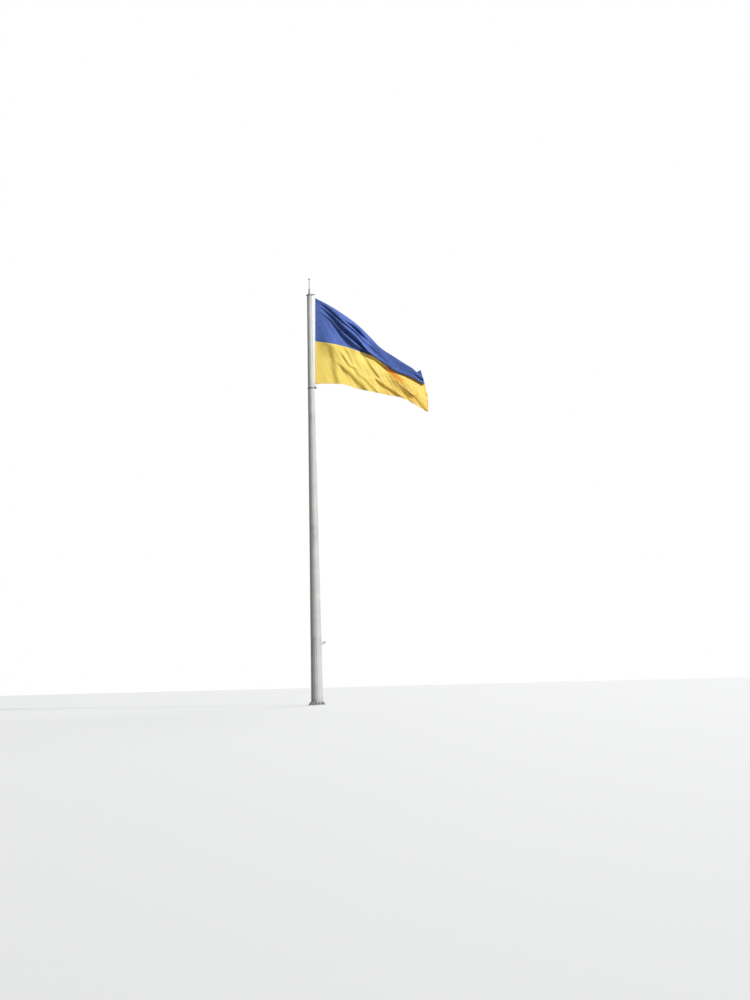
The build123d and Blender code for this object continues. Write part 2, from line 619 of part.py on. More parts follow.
inner_w = LAMP_BODY[0] - 2.0 * LAMP_RIM
inner_l = LAMP_BODY[1] - 2.0 * LAMP_RIM
recess = Pos(0, 0, (LAMP_BODY[2] - LAMP_RECESS) / 2.0) * Box(inner_w, inner_l, LAMP_RECESS)
save("floodlight_housing", lamp_at * (lamp - recess))
glass_z = LAMP_BODY[2] / 2.0 - LAMP_RECESS + LAMP_GLASS_T / 2.0
glass = Pos(0, 0, glass_z) * Box(inner_w - 2.0 * FIT_GAP, inner_l - 2.0 * FIT_GAP, LAMP_GLASS_T)
save("floodlight_glass", lamp_at * glass)
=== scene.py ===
"""Dressing of a tall revolving-head flagpole: weathered zinc, flag cloth, lamps and small fittings.

Metres, +Z up, the mast axis on x = y = 0, the flag flying toward +X.
"""

import logging
import math
from dataclasses import dataclass
from enum import Enum
from typing import Callable, ClassVar

import bpy
import numpy as np
from mathutils import Matrix


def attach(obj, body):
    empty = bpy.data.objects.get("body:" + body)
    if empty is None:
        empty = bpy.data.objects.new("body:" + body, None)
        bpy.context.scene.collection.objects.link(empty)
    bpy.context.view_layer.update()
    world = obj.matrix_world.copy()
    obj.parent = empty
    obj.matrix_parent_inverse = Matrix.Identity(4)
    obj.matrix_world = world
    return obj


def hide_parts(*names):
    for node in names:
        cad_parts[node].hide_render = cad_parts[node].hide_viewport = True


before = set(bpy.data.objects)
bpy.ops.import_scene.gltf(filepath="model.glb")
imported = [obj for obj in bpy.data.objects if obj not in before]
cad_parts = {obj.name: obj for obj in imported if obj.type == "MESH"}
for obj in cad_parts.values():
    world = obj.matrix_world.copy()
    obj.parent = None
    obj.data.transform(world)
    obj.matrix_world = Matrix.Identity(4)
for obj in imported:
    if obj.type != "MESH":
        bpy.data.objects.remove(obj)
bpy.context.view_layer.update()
LOG = logging.getLogger("flagpole")
Array = np.ndarray
TAU = 2.0 * math.pi
FIXED, TURNING = "mast", "turning_head"
X_WAY, Y_WAY, Z_WAY = (1, 0, 0), (0, 1, 0), (0, 0, 1)


# Surfaces

class Ends(Enum):
    """How the rows of a skin finish."""

    CAPPED = "each end closes on its middle"
    LOOPED = "the last row joins the first"


@dataclass
class Shape:
    """Closed surfaces kept as arrays until they become a mesh.

    verts holds one point a row, faces holds index tables of equal corner count, uv one pair for each corner.
    """

    verts: Array
    faces: list[Array]
    uv: list[Array]

    def placed(self, frames: Array | list[Array]) -> "Shape":
        """Copies the shape into every 4x4 frame of a stack.

        Args:
            frames: One 4x4 matrix, or a stack or list of them.

        Returns:
            All copies as one shape.
        """
        frames = np.asarray(frames, float).reshape(-1, 4, 4)
        count, size = len(frames), len(self.verts)
        verts = np.einsum("kij,nj->kni", frames[:, :3, :3], self.verts) + frames[:, None, :3, 3]
        shift = (np.arange(count) * size)[:, None, None]
        faces = [(table[None] + shift).reshape(-1, table.shape[1]) for table in self.faces]
        uv = [np.tile(table, (count, 1, 1)) for table in self.uv]
        return Shape(verts.reshape(-1, 3), faces, uv)

    def inside_out(self) -> "Shape":
        """The same points with every face turned round."""
        faces, uv = ([table[:, ::-1] for table in tables] for tables in (self.faces, self.uv))
        return Shape(self.verts, faces, uv)

    @staticmethod
    def joined(parts: list["Shape"]) -> "Shape":
        """Puts several shapes into one.

        Args:
            parts: Shapes in their order.

        Returns:
            One shape with all their points and faces.
        """
        starts = np.cumsum([0] + [len(part.verts) for part in parts[:-1]])
        faces = [table + start for part, start in zip(parts, starts) for table in part.faces]
        uv = [table for part in parts for table in part.uv]
        return Shape(np.vstack([part.verts for part in parts]), faces, uv)


def enclosed(verts: Array, faces: list[Array]) -> float:
    """Volume inside closed faces, from the tetrahedra that their triangles make with the origin.

    Args:
        verts: Points.
        faces: Index tables.

    Returns:
        Cubic metres, below zero where the faces look inward.
    """
    total = 0.0
    for table in faces:
        for k in range(1, table.shape[1] - 1):
            a, b, c = verts[table[:, 0]], verts[table[:, k]], verts[table[:, k + 1]]
            total += float(np.einsum("ij,ij->", a, np.cross(b, c))) / 6.0
    return total


def facing_out(shape: Shape) -> Shape:
    """Turns every face round when the enclosed volume comes out negative."""
    inward = enclosed(shape.verts - shape.verts.mean(0), shape.faces) < 0.0
    return shape.inside_out() if inward else shape


def skin(rings: Array, ends: Ends = Ends.CAPPED) -> Shape:
    """Wraps rows of points into a closed surface.

    Point k of row i is joined to point k + 1 and to row i + 1, the last column to the first. The UV map runs
    round the row from 0 to 1 and along the rows in metres of mean distance.

    Args:
        rings: Points as rows x columns x 3.
        ends: Whether the end rows are capped or joined to each other.

    Returns:
        The closed shape.
    """
    rows, cols = rings.shape[:2]
    looped = ends is Ends.LOOPED
    i = np.arange(rows if looped else rows - 1)[:, None]
    k = np.arange(cols)[None, :]
    after, right = (i + 1) % rows, (k + 1) % cols
    quads = np.stack([i * cols + k, i * cols + right, after * cols + right, after * cols + k], -1)
    quads = quads.reshape(-1, 4)
    steps = np.linalg.norm(np.roll(rings, -1, 0) - rings, axis=2).mean(1)
    along = np.concatenate([[0.0], np.cumsum(steps)])
    u0, u1, v0, v1 = (np.broadcast_to(part, (len(i), cols))
                      for part in (k / cols, (k + 1) / cols, along[i], along[i + 1]))
    corners = np.stack([np.stack([u0, v0], -1), np.stack([u1, v0], -1), np.stack([u1, v1], -1),
                        np.stack([u0, v1], -1)], 2).reshape(-1, 4, 2)
    verts, faces, uv = rings.reshape(-1, 3), [quads], [corners]
    if not looped:
        k = np.arange(cols)
        right = (k + 1) % cols
        verts = np.vstack([verts, rings[[0, -1]].mean(1)])
        end = (rows - 1) * cols
        first = np.stack([np.full(cols, rows * cols), right, k], -1)
        last = np.stack([np.full(cols, rows * cols + 1), end + k, end + right], -1)
        faces.append(np.vstack([first, last]))
        uv.append(np.zeros((2 * cols, 3, 2)))
    return facing_out(Shape(verts, faces, uv))


def round_angles(count: int) -> Array:
    """Even angles of a full turn."""
    return np.arange(count) * TAU / count


def off_middle(angle: Array, part: float) -> Array:
    """Angle off the middle of its own side, where each side takes one part of the turn."""
    return (angle + part / 2.0) % part - part / 2.0


def turned(profile: list[tuple[float, float]] | Array, sides: int = 32, ends: Ends = Ends.CAPPED) -> Shape:
    """Surface of revolution about Z: each profile point (radius, height) sweeps a circle.

    Args:
        profile: Rows of (radius, height).
        sides: Points round the circle.
        ends: Capped, or joined for a ring.

    Returns:
        The closed shape.
    """
    table = np.array(profile, float)
    angle = round_angles(sides)
    rings = np.stack([table[:, :1] * np.cos(angle), table[:, :1] * np.sin(angle),
                      np.repeat(table[:, 1:], sides, 1)], -1)
    return skin(rings, ends)


def drum(radius: float, low: float, high: float, edge: float, sides: int) -> Shape:
    """Short cylinder with both rims eased."""
    inner = radius - edge
    return turned([(inner, low), (radius, low + edge), (radius, high - edge), (inner, high)], sides)


def hexagonal(across: float, z0: float, z1: float, chamfer: float = 0.07) -> Shape:
    """Nut or bolt head: a hexagon whose corners are cut by a cone.

    The radius at an angle is the lesser of two: the flat's distance over the cosine of the angle folded into
    one side, and a circle that shrinks at both faces.

    Args:
        across: Width over the flats.
        z0: Lower face.
        z1: Upper face.
        chamfer: Depth of the cut as a share of the width.

    Returns:
        The closed shape.
    """
    angle = round_angles(24)
    flats = 0.5 * across / np.cos(off_middle(angle, TAU / 6.0))
    drop = chamfer * across
    limit = np.array([0.48 * across, 0.6 * across, 0.6 * across, 0.48 * across])
    z = np.array([z0, z0 + drop, z1 - drop, z1])
    r = np.minimum(flats[None], limit[:, None])
    return skin(np.stack([r * np.cos(angle), r * np.sin(angle), np.repeat(z[:, None], 24, 1)], -1))


def rounded_box(size: tuple[float, float], corner: float, count: int = 6) -> Array:
    """Outline of a rectangle with round corners: quarter circles set at the inner corners.

    Args:
        size: Width and height.
        corner: Radius.
        count: Points on each corner.

    Returns:
        Outline points, one a row.
    """
    half = np.array(size) / 2.0 - corner
    angle = np.linspace(0.0, TAU / 4.0, count)
    arc = np.stack([np.cos(angle), np.sin(angle)], -1) * corner
    turns = [np.array([[c, -s], [s, c]]) for c, s in ((1, 0), (0, 1), (-1, 0), (0, -1))]
    signs = [(1, 1), (-1, 1), (-1, -1), (1, -1)]
    return np.vstack([arc @ turn.T + half * sign for turn, sign in zip(turns, signs)])


def raised(outline: Array, z: float) -> Array:
    """A flat outline lifted to one height."""
    return np.column_stack([outline, np.full(len(outline), z)])


SHARPEST = 0.0008


def stacked(size: tuple[float, float], corner: float, levels: list[tuple[float, float]],
            count: int = 6) -> Shape:
    """Block of rounded rectangles: each level (inset, height) is the outline drawn in by the inset.

    Args:
        size: Width and depth.
        corner: Radius of the outline's corners.
        levels: Rows of (inset, height).
        count: Points on each corner.

    Returns:
        The closed shape.
    """
    rings = []
    for inset, z in levels:
        inner = (size[0] - 2 * inset, size[1] - 2 * inset)
        rings.append(raised(rounded_box(inner, max(corner - inset, SHARPEST), count), z))
    return skin(np.array(rings))


def slab(size: tuple[float, float, float], edge: float = 0.002) -> Shape:
    """Plate centred on the origin with all its edges eased."""
    h = size[2] / 2.0
    return stacked(size[:2], 1.5 * edge, [(edge, -h), (0.0, -h + edge), (0.0, h - edge), (edge, h)], 3)


def circle(radius: float, sides: int = 10) -> Array:
    """Round outline."""
    angle = round_angles(sides)
    return np.stack([np.cos(angle), np.sin(angle)], -1) * radius


def carried(section: Array, path: Array, up: tuple[float, float, float], ends: Ends = Ends.CAPPED,
            twist: float = 0.0, swell: Array | float = 1.0) -> Shape:
    """Carries a closed outline along a path.

    With t the central difference of the path, side is t x up and lift is side x t. An outline point (a, b)
    lands at the path point plus a side plus b lift, turned by twist radians for each metre gone.

    Args:
        section: Outline points.
        path: Points of the path.
        up: A direction that the path never follows.
        ends: Capped, or joined where the path is a loop.
        twist: Turn of the outline in radians per metre.
        swell: Scale of the outline at each path point.

    Returns:
        The closed shape.
    """
    if ends is Ends.LOOPED:
        tangent = np.roll(path, -1, 0) - np.roll(path, 1, 0)
    else:
        tangent = np.gradient(path, axis=0)
    tangent /= np.linalg.norm(tangent, axis=1, keepdims=True)
    side = np.cross(tangent, np.array(up, float))
    side /= np.linalg.norm(side, axis=1, keepdims=True)
    lift = np.cross(side, tangent)
    gone = np.concatenate([[0.0], np.cumsum(np.linalg.norm(np.diff(path, axis=0), axis=1))]) * twist
    scale = np.broadcast_to(np.asarray(swell, float), (len(path),))[:, None]
    a = (np.cos(gone)[:, None] * section[:, 0] - np.sin(gone)[:, None] * section[:, 1]) * scale
    b = (np.sin(gone)[:, None] * section[:, 0] + np.cos(gone)[:, None] * section[:, 1]) * scale
    return skin(path[:, None] + a[..., None] * side[:, None] + b[..., None] * lift[:, None], ends)


def bead(path: Array, radius: float, up: tuple[float, float, float], ends: Ends = Ends.CAPPED) -> Shape:
    """Weld bead: a round section whose size ripples along its run by two sines.

    Args:
        path: Points of the run.
        radius: Mean radius.
        up: A direction that the path never follows.
        ends: Capped, or joined where the path is a loop.

    Returns:
        The closed shape.
    """
    step = np.arange(len(path))
    swell = 1.0 + 0.12 * np.sin(step * 2.4) + 0.05 * np.sin(step * 0.7)
    return carried(circle(radius, 8), path, up, ends, swell=swell)


def ring_bead(outline: Array, z: float, radius: float) -> Shape:
    """Weld bead round a flat outline at one height."""
    return bead(raised(outline, z), radius, Z_WAY, Ends.LOOPED)


def line(start: tuple, end: tuple, count: int) -> Array:
    """Evenly spaced points of a straight run."""
    return np.linspace(np.array(start, float), np.array(end, float), count)


def frame_at(origin: tuple, z_axis: tuple = Z_WAY, x_axis: tuple = X_WAY) -> Array:
    """4x4 frame from its origin, its Z direction and roughly its X direction.

    Args:
        origin: Where it stands.
        z_axis: Direction of Z.
        x_axis: A direction near X.

    Returns:
        The frame.
    """
    z = np.array(z_axis, float) / np.linalg.norm(z_axis)
    y = np.cross(z, np.array(x_axis, float))
    y /= np.linalg.norm(y)
    out = np.eye(4)
    out[:3, 0], out[:3, 1], out[:3, 2], out[:3, 3] = np.cross(y, z), y, z, origin
    return out


class Facing(Enum):
    """Where the Z direction of a frame round the mast points."""

    UP = "along the mast"
    OUT = "away from it"


def polar(count: int, radius: float, z: float, start: float = 0.0, facing: Facing = Facing.UP) -> Array:
    """Stack of frames spread evenly round the mast's axis.

    Args:
        count: How many.
        radius: Distance from the axis.
        z: Height.
        start: Angle of the first from +X in degrees.
        facing: Where Z points; with UP, X points outward.

    Returns:
        One 4x4 frame for each.
    """
    out = []
    for angle in math.radians(start) + TAU * np.arange(count) / count:
        away = (math.cos(angle), math.sin(angle), 0.0)
        axes = (Z_WAY, away) if facing is Facing.UP else (away, Z_WAY)
        out.append(frame_at((radius * away[0], radius * away[1], z), *axes))
    return np.array(out)


def shifted(base: Array, x: float = 0.0, y: float = 0.0, z: float = 0.0) -> Array:
    """The frame moved along its own axes.

    Args:
        base: Frame to start from.
        x: Step along its X.
        y: Step along its Y.
        z: Step along its Z.

    Returns:
        The moved frame.
    """
    step = np.eye(4)
    step[:3, 3] = (x, y, z)
    return base @ step


# Finishes

Socket = bpy.types.NodeSocket
Sockets = dict[str, Socket]
Value = float | tuple | Socket


class Wiring:
    """Adds nodes to one tree and joins them."""

    def __init__(self, tree: bpy.types.NodeTree) -> None:
        """Keeps the tree."""
        self.tree = tree

    def node(self, kind: str, inputs: dict[int | str, Value] | None = None,
             **settings: object) -> bpy.types.Node:
        """Adds one node.

        Args:
            kind: Type name without its ShaderNode prefix.
            inputs: Constants or sockets by input name or number.
            settings: Properties of the node.

        Returns:
            The node.
        """
        made = self.tree.nodes.new("ShaderNode" + kind)
        for key, value in settings.items():
            setattr(made, key, value)
        for key, value in (inputs or {}).items():
            if isinstance(value, bpy.types.NodeSocket):
                self.tree.links.new(value, made.inputs[key])
            else:
                made.inputs[key].default_value = value
        return made

    def calc(self, operation: str, a: Value, b: Value = 0.0, clamp: bool = False) -> Socket:
        """One sum on two numbers."""
        return self.node("Math", {0: a, 1: b}, operation=operation, use_clamp=clamp).outputs[0]

    def times(self, a: Value, b: Value) -> Socket:
        """Product of two numbers."""
        return self.calc("MULTIPLY", a, b)

    def plus(self, a: Value, b: Value, clamp: bool = False) -> Socket:
        """Total of two numbers, held between 0 and 1 where asked."""
        return self.calc("ADD", a, b, clamp)

    def span(self, value: Value, low: Value, high: Value, to_low: Value = 0.0,
             to_high: Value = 1.0) -> Socket:
        """Eased step from one level to another as a value crosses a range."""
        return self.node("MapRange", {0: value, 1: low, 2: high, 3: to_low, 4: to_high},
                         interpolation_type="SMOOTHSTEP").outputs[0]

    def blend(self, share: Value, a: Value, b: Value) -> Socket:
        """Colour between two colours."""
        return self.node("Mix", {0: share, 6: a, 7: b}, data_type="RGBA").outputs[2]

    def noise(self, vector: Socket, scale: Value, detail: float = 3.0) -> Socket:
        """Cloudy value about one half."""
        return self.node("TexNoise", {"Vector": vector, "Scale": scale, "Detail": detail}).outputs["Fac"]

    def place(self) -> Socket:
        """The object's own coordinates."""
        return self.node("TexCoord").outputs["Object"]

    def part(self, vector: Socket, axis: int) -> Socket:
        """One number of a vector."""
        return self.node("SeparateXYZ", {0: vector}).outputs[axis]

    def stretched(self, vector: Socket, x: float, y: float, z: float) -> Socket:
        """Coordinates scaled on each axis."""
        return self.node("Mapping", {"Vector": vector, "Scale": (x, y, z)}).outputs[0]


class Kind(Enum):
    """Socket types of a shader group."""

    VALUE = "NodeSocketFloat"
    COLOUR = "NodeSocketColor"
    VECTOR = "NodeSocketVector"


RELIEF = {"Color": Kind.COLOUR, "Roughness": Kind.VALUE, "Height": Kind.VALUE}
EDGE = {"Edge": Kind.VALUE, "Normal": Kind.VECTOR}


def grouped(w: Wiring, name: str, given: dict[str, Value], body: Callable[[Wiring, Sockets], Sockets],
            outputs: dict[str, Kind]) -> bpy.types.Node:
    """Node of a shared shader group, which is built the first time that it is asked for.

    Args:
        w: Tree that gets the node.
        name: Name of the group.
        given: The node's inputs; a number makes a value and a tuple a colour.
        body: Wires the group and returns a socket for each output.
        outputs: Kind of each output.

    Returns:
        The node.
    """
    tree = bpy.data.node_groups.get(name)
    if tree is None:
        tree = bpy.data.node_groups.new(name, "ShaderNodeTree")
        for key, value in given.items():
            kind = Kind.COLOUR if isinstance(value, tuple) else Kind.VALUE
            tree.interface.new_socket(key, in_out="INPUT", socket_type=kind.value).default_value = value
        for key, kind in outputs.items():
            tree.interface.new_socket(key, in_out="OUTPUT", socket_type=kind.value)
        source, sink = tree.nodes.new("NodeGroupInput"), tree.nodes.new("NodeGroupOutput")
        for key, socket in body(Wiring(tree), {key: source.outputs[key] for key in given}).items():
            tree.links.new(socket, sink.inputs[key])
    return w.node("Group", given, node_tree=tree)


def colour(r: float, g: float, b: float) -> tuple[float, float, float, float]:
    """Linear colour from its display values in 0 to 1."""
    return tuple(c / 12.92 if c <= 0.04045 else ((c + 0.055) / 1.055) ** 2.4 for c in (r, g, b)) + (1.0,)


def weather_body(w: Wiring, given: Sockets) -> Sockets:
    """Zinc bloom: crystal cells, clouds, rain streaks, a drip stain below a rim and splash at the foot.

    Args:
        w: The group's tree.
        given: Sockets of the group's inputs.

    Returns:
        Sockets of the group's outputs.
    """
    at = w.place()
    z = w.part(at, 2)
    cells = w.node("TexVoronoi", {"Vector": at, "Scale": given["spangle"]}).outputs["Color"]
    cell = w.node("SeparateColor", {0: cells}).outputs[0]
    cloud = w.noise(at, given["patch"], 5.0)
    rain = w.noise(w.stretched(at, 16.0, 16.0, 0.32), 1.0, 4.0)
    fine = w.noise(w.stretched(at, 60.0, 60.0, 1.1), 1.0, 3.0)
    tone = w.calc("SUBTRACT", w.plus(w.times(cell, 0.26), w.times(cloud, 1.05)), 0.16, True)
    base = w.blend(tone, given["dark"], given["pale"])
    streak = w.times(w.span(rain, 0.5, 0.72), given["streaks"])
    fall = w.calc("SUBTRACT", given["drip_top"], z)
    under = w.times(w.span(fall, 0.0, 0.02), w.span(fall, 0.1, 1.9, 1.0, 0.0))
    drip = w.times(w.times(under, w.span(fine, 0.4, 0.62)), given["drip"])
    splash = w.times(w.span(w.plus(z, w.times(cloud, -0.9)), -0.35, 0.5, 1.0, 0.0), given["splash"])
    dirt = w.plus(streak, w.plus(drip, splash), True)
    rough = w.plus(w.times(cloud, 0.22), w.times(dirt, 0.2))
    height = w.plus(w.times(cell, 0.2), w.times(cloud, 0.8))
    return {"Color": w.blend(dirt, base, given["stain"]),
            "Roughness": w.plus(rough, given["roughness"]), "Height": height}


def edge_body(w: Wiring, given: Sockets) -> Sockets:
    """Eased edge: the normal of a small round over each corner, and a mask where it leaves the face's own.

    Args:
        w: The group's tree.
        given: Sockets of the group's inputs.

    Returns:
        Sockets of the group's outputs.
    """
    eased = w.node("Bevel", {"Radius": given["Radius"]}, samples=4).outputs[0]
    face = w.node("NewGeometry").outputs["Normal"]
    lean = w.node("VectorMath", {0: eased, 1: face}, operation="DOT_PRODUCT").outputs["Value"]
    at = w.place()
    broken = w.span(w.noise(at, 55.0, 4.0), 0.35, 0.6)
    mask = w.times(w.span(lean, 0.999, 0.93), broken)
    return {"Edge": w.times(mask, given["Wear"]), "Normal": eased}


def coat_body(w: Wiring, given: Sockets) -> Sockets:
    """Sprayed coat: orange peel, faint cloudiness and dust that settles on what faces up.

    Args:
        w: The group's tree.
        given: Sockets of the group's inputs.

    Returns:
        Sockets of the group's outputs.
    """
    at = w.place()
    peel = w.noise(at, given["peel"], 2.0)
    cloud = w.noise(at, 9.0, 5.0)
    up = w.part(w.node("NewGeometry").outputs["Normal"], 2)
    dust = w.times(w.span(up, 0.1, 1.0, 0.15, 1.0), w.span(cloud, 0.36, 0.7))
    dust = w.times(dust, given["dust"])
    rough = w.plus(w.times(cloud, 0.16), w.times(dust, 0.35))
    return {"Color": w.blend(dust, given["tint"], given["soil"]),
            "Roughness": w.plus(rough, given["roughness"]), "Height": peel}


THREAD = 0.0016
STITCH_HALF = 0.0011
STITCHES_PER_METRE = 210.0
STITCHES_ALONG = (0.008, 0.034, 3.988, 4.012, 7.966, 7.992)
STITCHES_ACROSS = (0.012, 0.078, 11.9, 11.93, 11.96, 11.99)
PANEL_JOINS = (1.34, 2.68, 5.34, 6.68)


def cloth_body(w: Wiring, given: Sockets) -> Sockets:
    """Plain weave on UV metres: crossing threads, slubs, faded cloth, panel joins and dashed stitch rows.

    A painted glow lies on the side facing -Y: orange painted light, as if the sun came through the cloth,
    in a slanting strip below the fold and weakly toward the fly.

    Args:
        w: The group's tree.
        given: Sockets of the group's inputs.

    Returns:
        Sockets of the group's outputs.
    """
    uv = w.node("UVMap").outputs[0]
    u, v = (w.part(uv, axis) for axis in (0, 1))
    warp, weft = (w.calc("SINE", w.times(along, TAU / THREAD)) for along in (u, v))
    weave = w.times(warp, weft)
    slub = w.noise(w.stretched(uv, 26.0, 620.0, 1.0), 1.0, 2.0)
    cloud = w.noise(uv, 0.9, 4.0)
    crease = w.noise(w.stretched(uv, 0.7, 2.6, 1.0), 1.6, 3.0)
    rows = [(v, u, place) for place in STITCHES_ALONG] + [(u, v, place) for place in STITCHES_ACROSS]
    stitches: Value = 0.0
    for across, along, place in rows:
        near = w.calc("LESS_THAN", w.calc("ABSOLUTE", w.calc("SUBTRACT", across, place)), STITCH_HALF)
        dash = w.calc("LESS_THAN", w.calc("FRACT", w.times(along, STITCHES_PER_METRE)), 0.62)
        stitches = w.calc("MAXIMUM", stitches, w.times(near, dash))
    joins: Value = 0.0
    for place in PANEL_JOINS:
        gap = w.calc("ABSOLUTE", w.calc("SUBTRACT", v, place))
        joins = w.calc("MAXIMUM", joins, w.span(gap, 0.004, 0.011, 1.0, 0.0))
    tone = w.plus(w.times(cloud, 0.7), w.times(crease, 0.5))
    body = w.blend(w.times(w.span(tone, 0.35, 0.85), given["fade"]), given["tint"], given["faded"])
    body = w.blend(w.times(slub, 0.1), body, given["faded"])
    body = w.blend(w.times(joins, 0.35), body, given["shade"])
    body = w.blend(w.times(stitches, 0.8), body, given["thread"])
    # Painted glow: orange painted light standing in for sun through the cloth below the blue fold, on the
    # side facing -Y only.
    off = w.calc("ABSOLUTE", w.calc("SUBTRACT", v, w.plus(w.times(u, 0.42), 1.2)))
    strip = w.span(w.plus(off, w.times(cloud, 0.35)), 0.3, 0.95, 1.0, 0.0)
    strip = w.times(strip, w.times(w.span(u, 7.1, 8.0), w.span(u, 9.1, 9.9, 1.0, 0.0)))
    lit = w.calc("MAXIMUM", strip, w.span(u, 4.0, 11.0, 0.0, 0.2))
    away = w.part(w.node("TexCoord").outputs["Normal"], 1)
    lit = w.times(lit, w.span(away, 0.1, -0.3))
    body = w.blend(w.times(lit, given["glowing"]), body, given["doubled"])
    height = w.plus(w.times(weave, 0.25), w.times(slub, 0.5))
    height = w.plus(height, w.plus(w.times(joins, 1.2), w.times(stitches, -0.9)))
    return {"Color": body, "Roughness": w.plus(w.times(slub, 0.14), 0.7), "Height": height}


def satin_body(w: Wiring, given: Sockets) -> Sockets:
    """Drawn or ground metal: fine lines along Z, a tarnish cloud and dark specks.

    Args:
        w: The group's tree.
        given: Sockets of the group's inputs.

    Returns:
        Sockets of the group's outputs.
    """
    at = w.place()
    lines = w.noise(w.stretched(at, 900.0, 900.0, 30.0), 1.0, 2.0)
    cloud = w.noise(at, 40.0, 4.0)
    shade = w.plus(w.times(lines, 0.35), w.times(w.span(cloud, 0.45, 0.75), 0.5))
    rough = w.plus(w.times(lines, 0.16), w.times(cloud, 0.14))
    return {"Color": w.blend(shade, given["tint"], given["tarnish"]),
            "Roughness": w.plus(rough, given["roughness"]), "Height": lines}


def strand_body(w: Wiring, given: Sockets) -> Sockets:
    """Small wires of each rope strand on its UV map: slanting lines round it, grease in between.

    Args:
        w: The group's tree.
        given: Sockets of the group's inputs.

    Returns:
        Sockets of the group's outputs.
    """
    uv = w.node("UVMap").outputs[0]
    u, v = (w.part(uv, axis) for axis in (0, 1))
    turn = w.plus(w.times(u, given["wires"]), w.times(v, given["lay"]))
    wire = w.calc("ABSOLUTE", w.calc("SINE", w.times(turn, math.pi)))
    grime = w.noise(uv, 60.0, 4.0)
    share = w.plus(w.span(wire, 0.55, 0.0, 0.0, 0.8), w.times(w.span(grime, 0.45, 0.7), 0.4), True)
    return {"Color": w.blend(share, given["tint"], given["grease"]),
            "Roughness": w.plus(w.times(share, 0.3), 0.34), "Height": wire}


def cleared(owner: bpy.types.Material | bpy.types.World) -> Wiring:
    """Wiring of an owner's emptied node tree.

    Args:
        owner: Material or world.

    Returns:
        Wiring of its tree.
    """
    owner.use_nodes = True
    owner.node_tree.nodes.clear()
    return Wiring(owner.node_tree)


@dataclass(frozen=True)
class Finish:
    """One finish of the pole: its material's name, the record's slot and plain shader numbers."""

    name: str
    slot: str
    metallic: float = 0.0
    bump: float = 0.2
    grain: float = 0.001
    edge: float = 0.0015
    wear: float = 0.0

    group: ClassVar[str]
    body: ClassVar[Callable[[Wiring, Sockets], Sockets]]
    inputs: ClassVar[tuple[str, ...]]

    def relief(self, w: Wiring) -> bpy.types.Node:
        """Node whose outputs Color, Roughness and Height carry the finish.

        Each kind of finish names its shader group, what wires it, and the fields that are its inputs.

        Args:
            w: Tree that gets the node.

        Returns:
            The group's node with this finish's own numbers.
        """
        given = {}
        for name in self.inputs:
            value = getattr(self, name)
            given[name] = colour(*value) if isinstance(value, tuple) else value
        return grouped(w, self.group, given, self.body, RELIEF)

    def constants(self) -> dict[str, Value]:
        """Shader inputs that are the same all over."""
        return {"Metallic": self.metallic}

    def worn(self) -> tuple:
        """Colour of a rubbed edge."""
        return colour(0.72, 0.73, 0.74)

    def material(self) -> bpy.types.Material:
        """Builds the material the first time and returns it.

        Returns:
            The material.
        """
        found = bpy.data.materials.get(self.name)
        if found:
            return found
        made = bpy.data.materials.new(self.name)
        w = cleared(made)
        relief = self.relief(w)
        shade, normal = relief.outputs["Color"], None
        if self.edge > 0.0:
            eased = grouped(w, "eased_edges", {"Radius": self.edge, "Wear": self.wear}, edge_body, EDGE)
            normal = eased.outputs["Normal"]
            if self.wear > 0.0:
                shade = w.blend(eased.outputs["Edge"], shade, self.worn())
        bump = w.node("Bump", {"Strength": self.bump, "Distance": self.grain,
                               "Height": relief.outputs["Height"]})
        if normal is not None:
            w.tree.links.new(normal, bump.inputs["Normal"])
        shader = w.node("BsdfPrincipled", {"Base Color": shade, "Roughness": relief.outputs["Roughness"],
                                           "Normal": bump.outputs[0], **self.constants()})
        w.node("OutputMaterial", {"Surface": shader.outputs[0]})
        return made


@dataclass(frozen=True)
class Zinc(Finish):
    """Hot-dip zinc left to weather."""

    group, body = "zinc_bloom", staticmethod(weather_body)
    inputs = ("pale", "dark", "stain", "spangle", "patch", "streaks", "drip_top", "drip", "splash",
              "roughness")

    pale: tuple = (0.80, 0.80, 0.79)
    dark: tuple = (0.66, 0.67, 0.68)
    stain: tuple = (0.45, 0.44, 0.42)
    spangle: float = 38.0
    patch: float = 0.9
    streaks: float = 0.3
    drip_top: float = 0.0
    drip: float = 0.0
    splash: float = 0.0
    roughness: float = 0.4

    def constants(self) -> dict[str, Value]:
        """Adds the low gloss of an oxidised coat."""
        return {"Metallic": self.metallic, "Specular IOR Level": 0.25}


@dataclass(frozen=True)
class Coat(Finish):
    """Paint, powder coat or moulded plastic."""

    group, body = "sprayed_coat", staticmethod(coat_body)
    inputs = ("tint", "soil", "peel", "dust", "roughness")

    tint: tuple = (0.9, 0.9, 0.9)
    soil: tuple = (0.6, 0.58, 0.54)
    peel: float = 420.0
    dust: float = 0.4
    roughness: float = 0.3
    clear: float = 0.0

    def constants(self) -> dict[str, Value]:
        """Adds the clear coat."""
        return {"Metallic": self.metallic, "Coat Weight": self.clear, "Coat Roughness": 0.15}


@dataclass(frozen=True)
class Satin(Finish):
    """Bare stainless, brass or drawn steel."""

    group, body = "ground_metal", staticmethod(satin_body)
    inputs = ("tint", "tarnish", "roughness")

    tint: tuple = (0.78, 0.78, 0.77)
    tarnish: tuple = (0.5, 0.49, 0.47)
    roughness: float = 0.22


@dataclass(frozen=True)
class Rope(Finish):
    """Stranded steel rope."""

    group, body = "rope_wires", staticmethod(strand_body)
    inputs = ("tint", "grease", "wires", "lay")

    tint: tuple = (0.69, 0.7, 0.71)
    grease: tuple = (0.27, 0.27, 0.26)
    wires: float = 6.0
    lay: float = 90.0


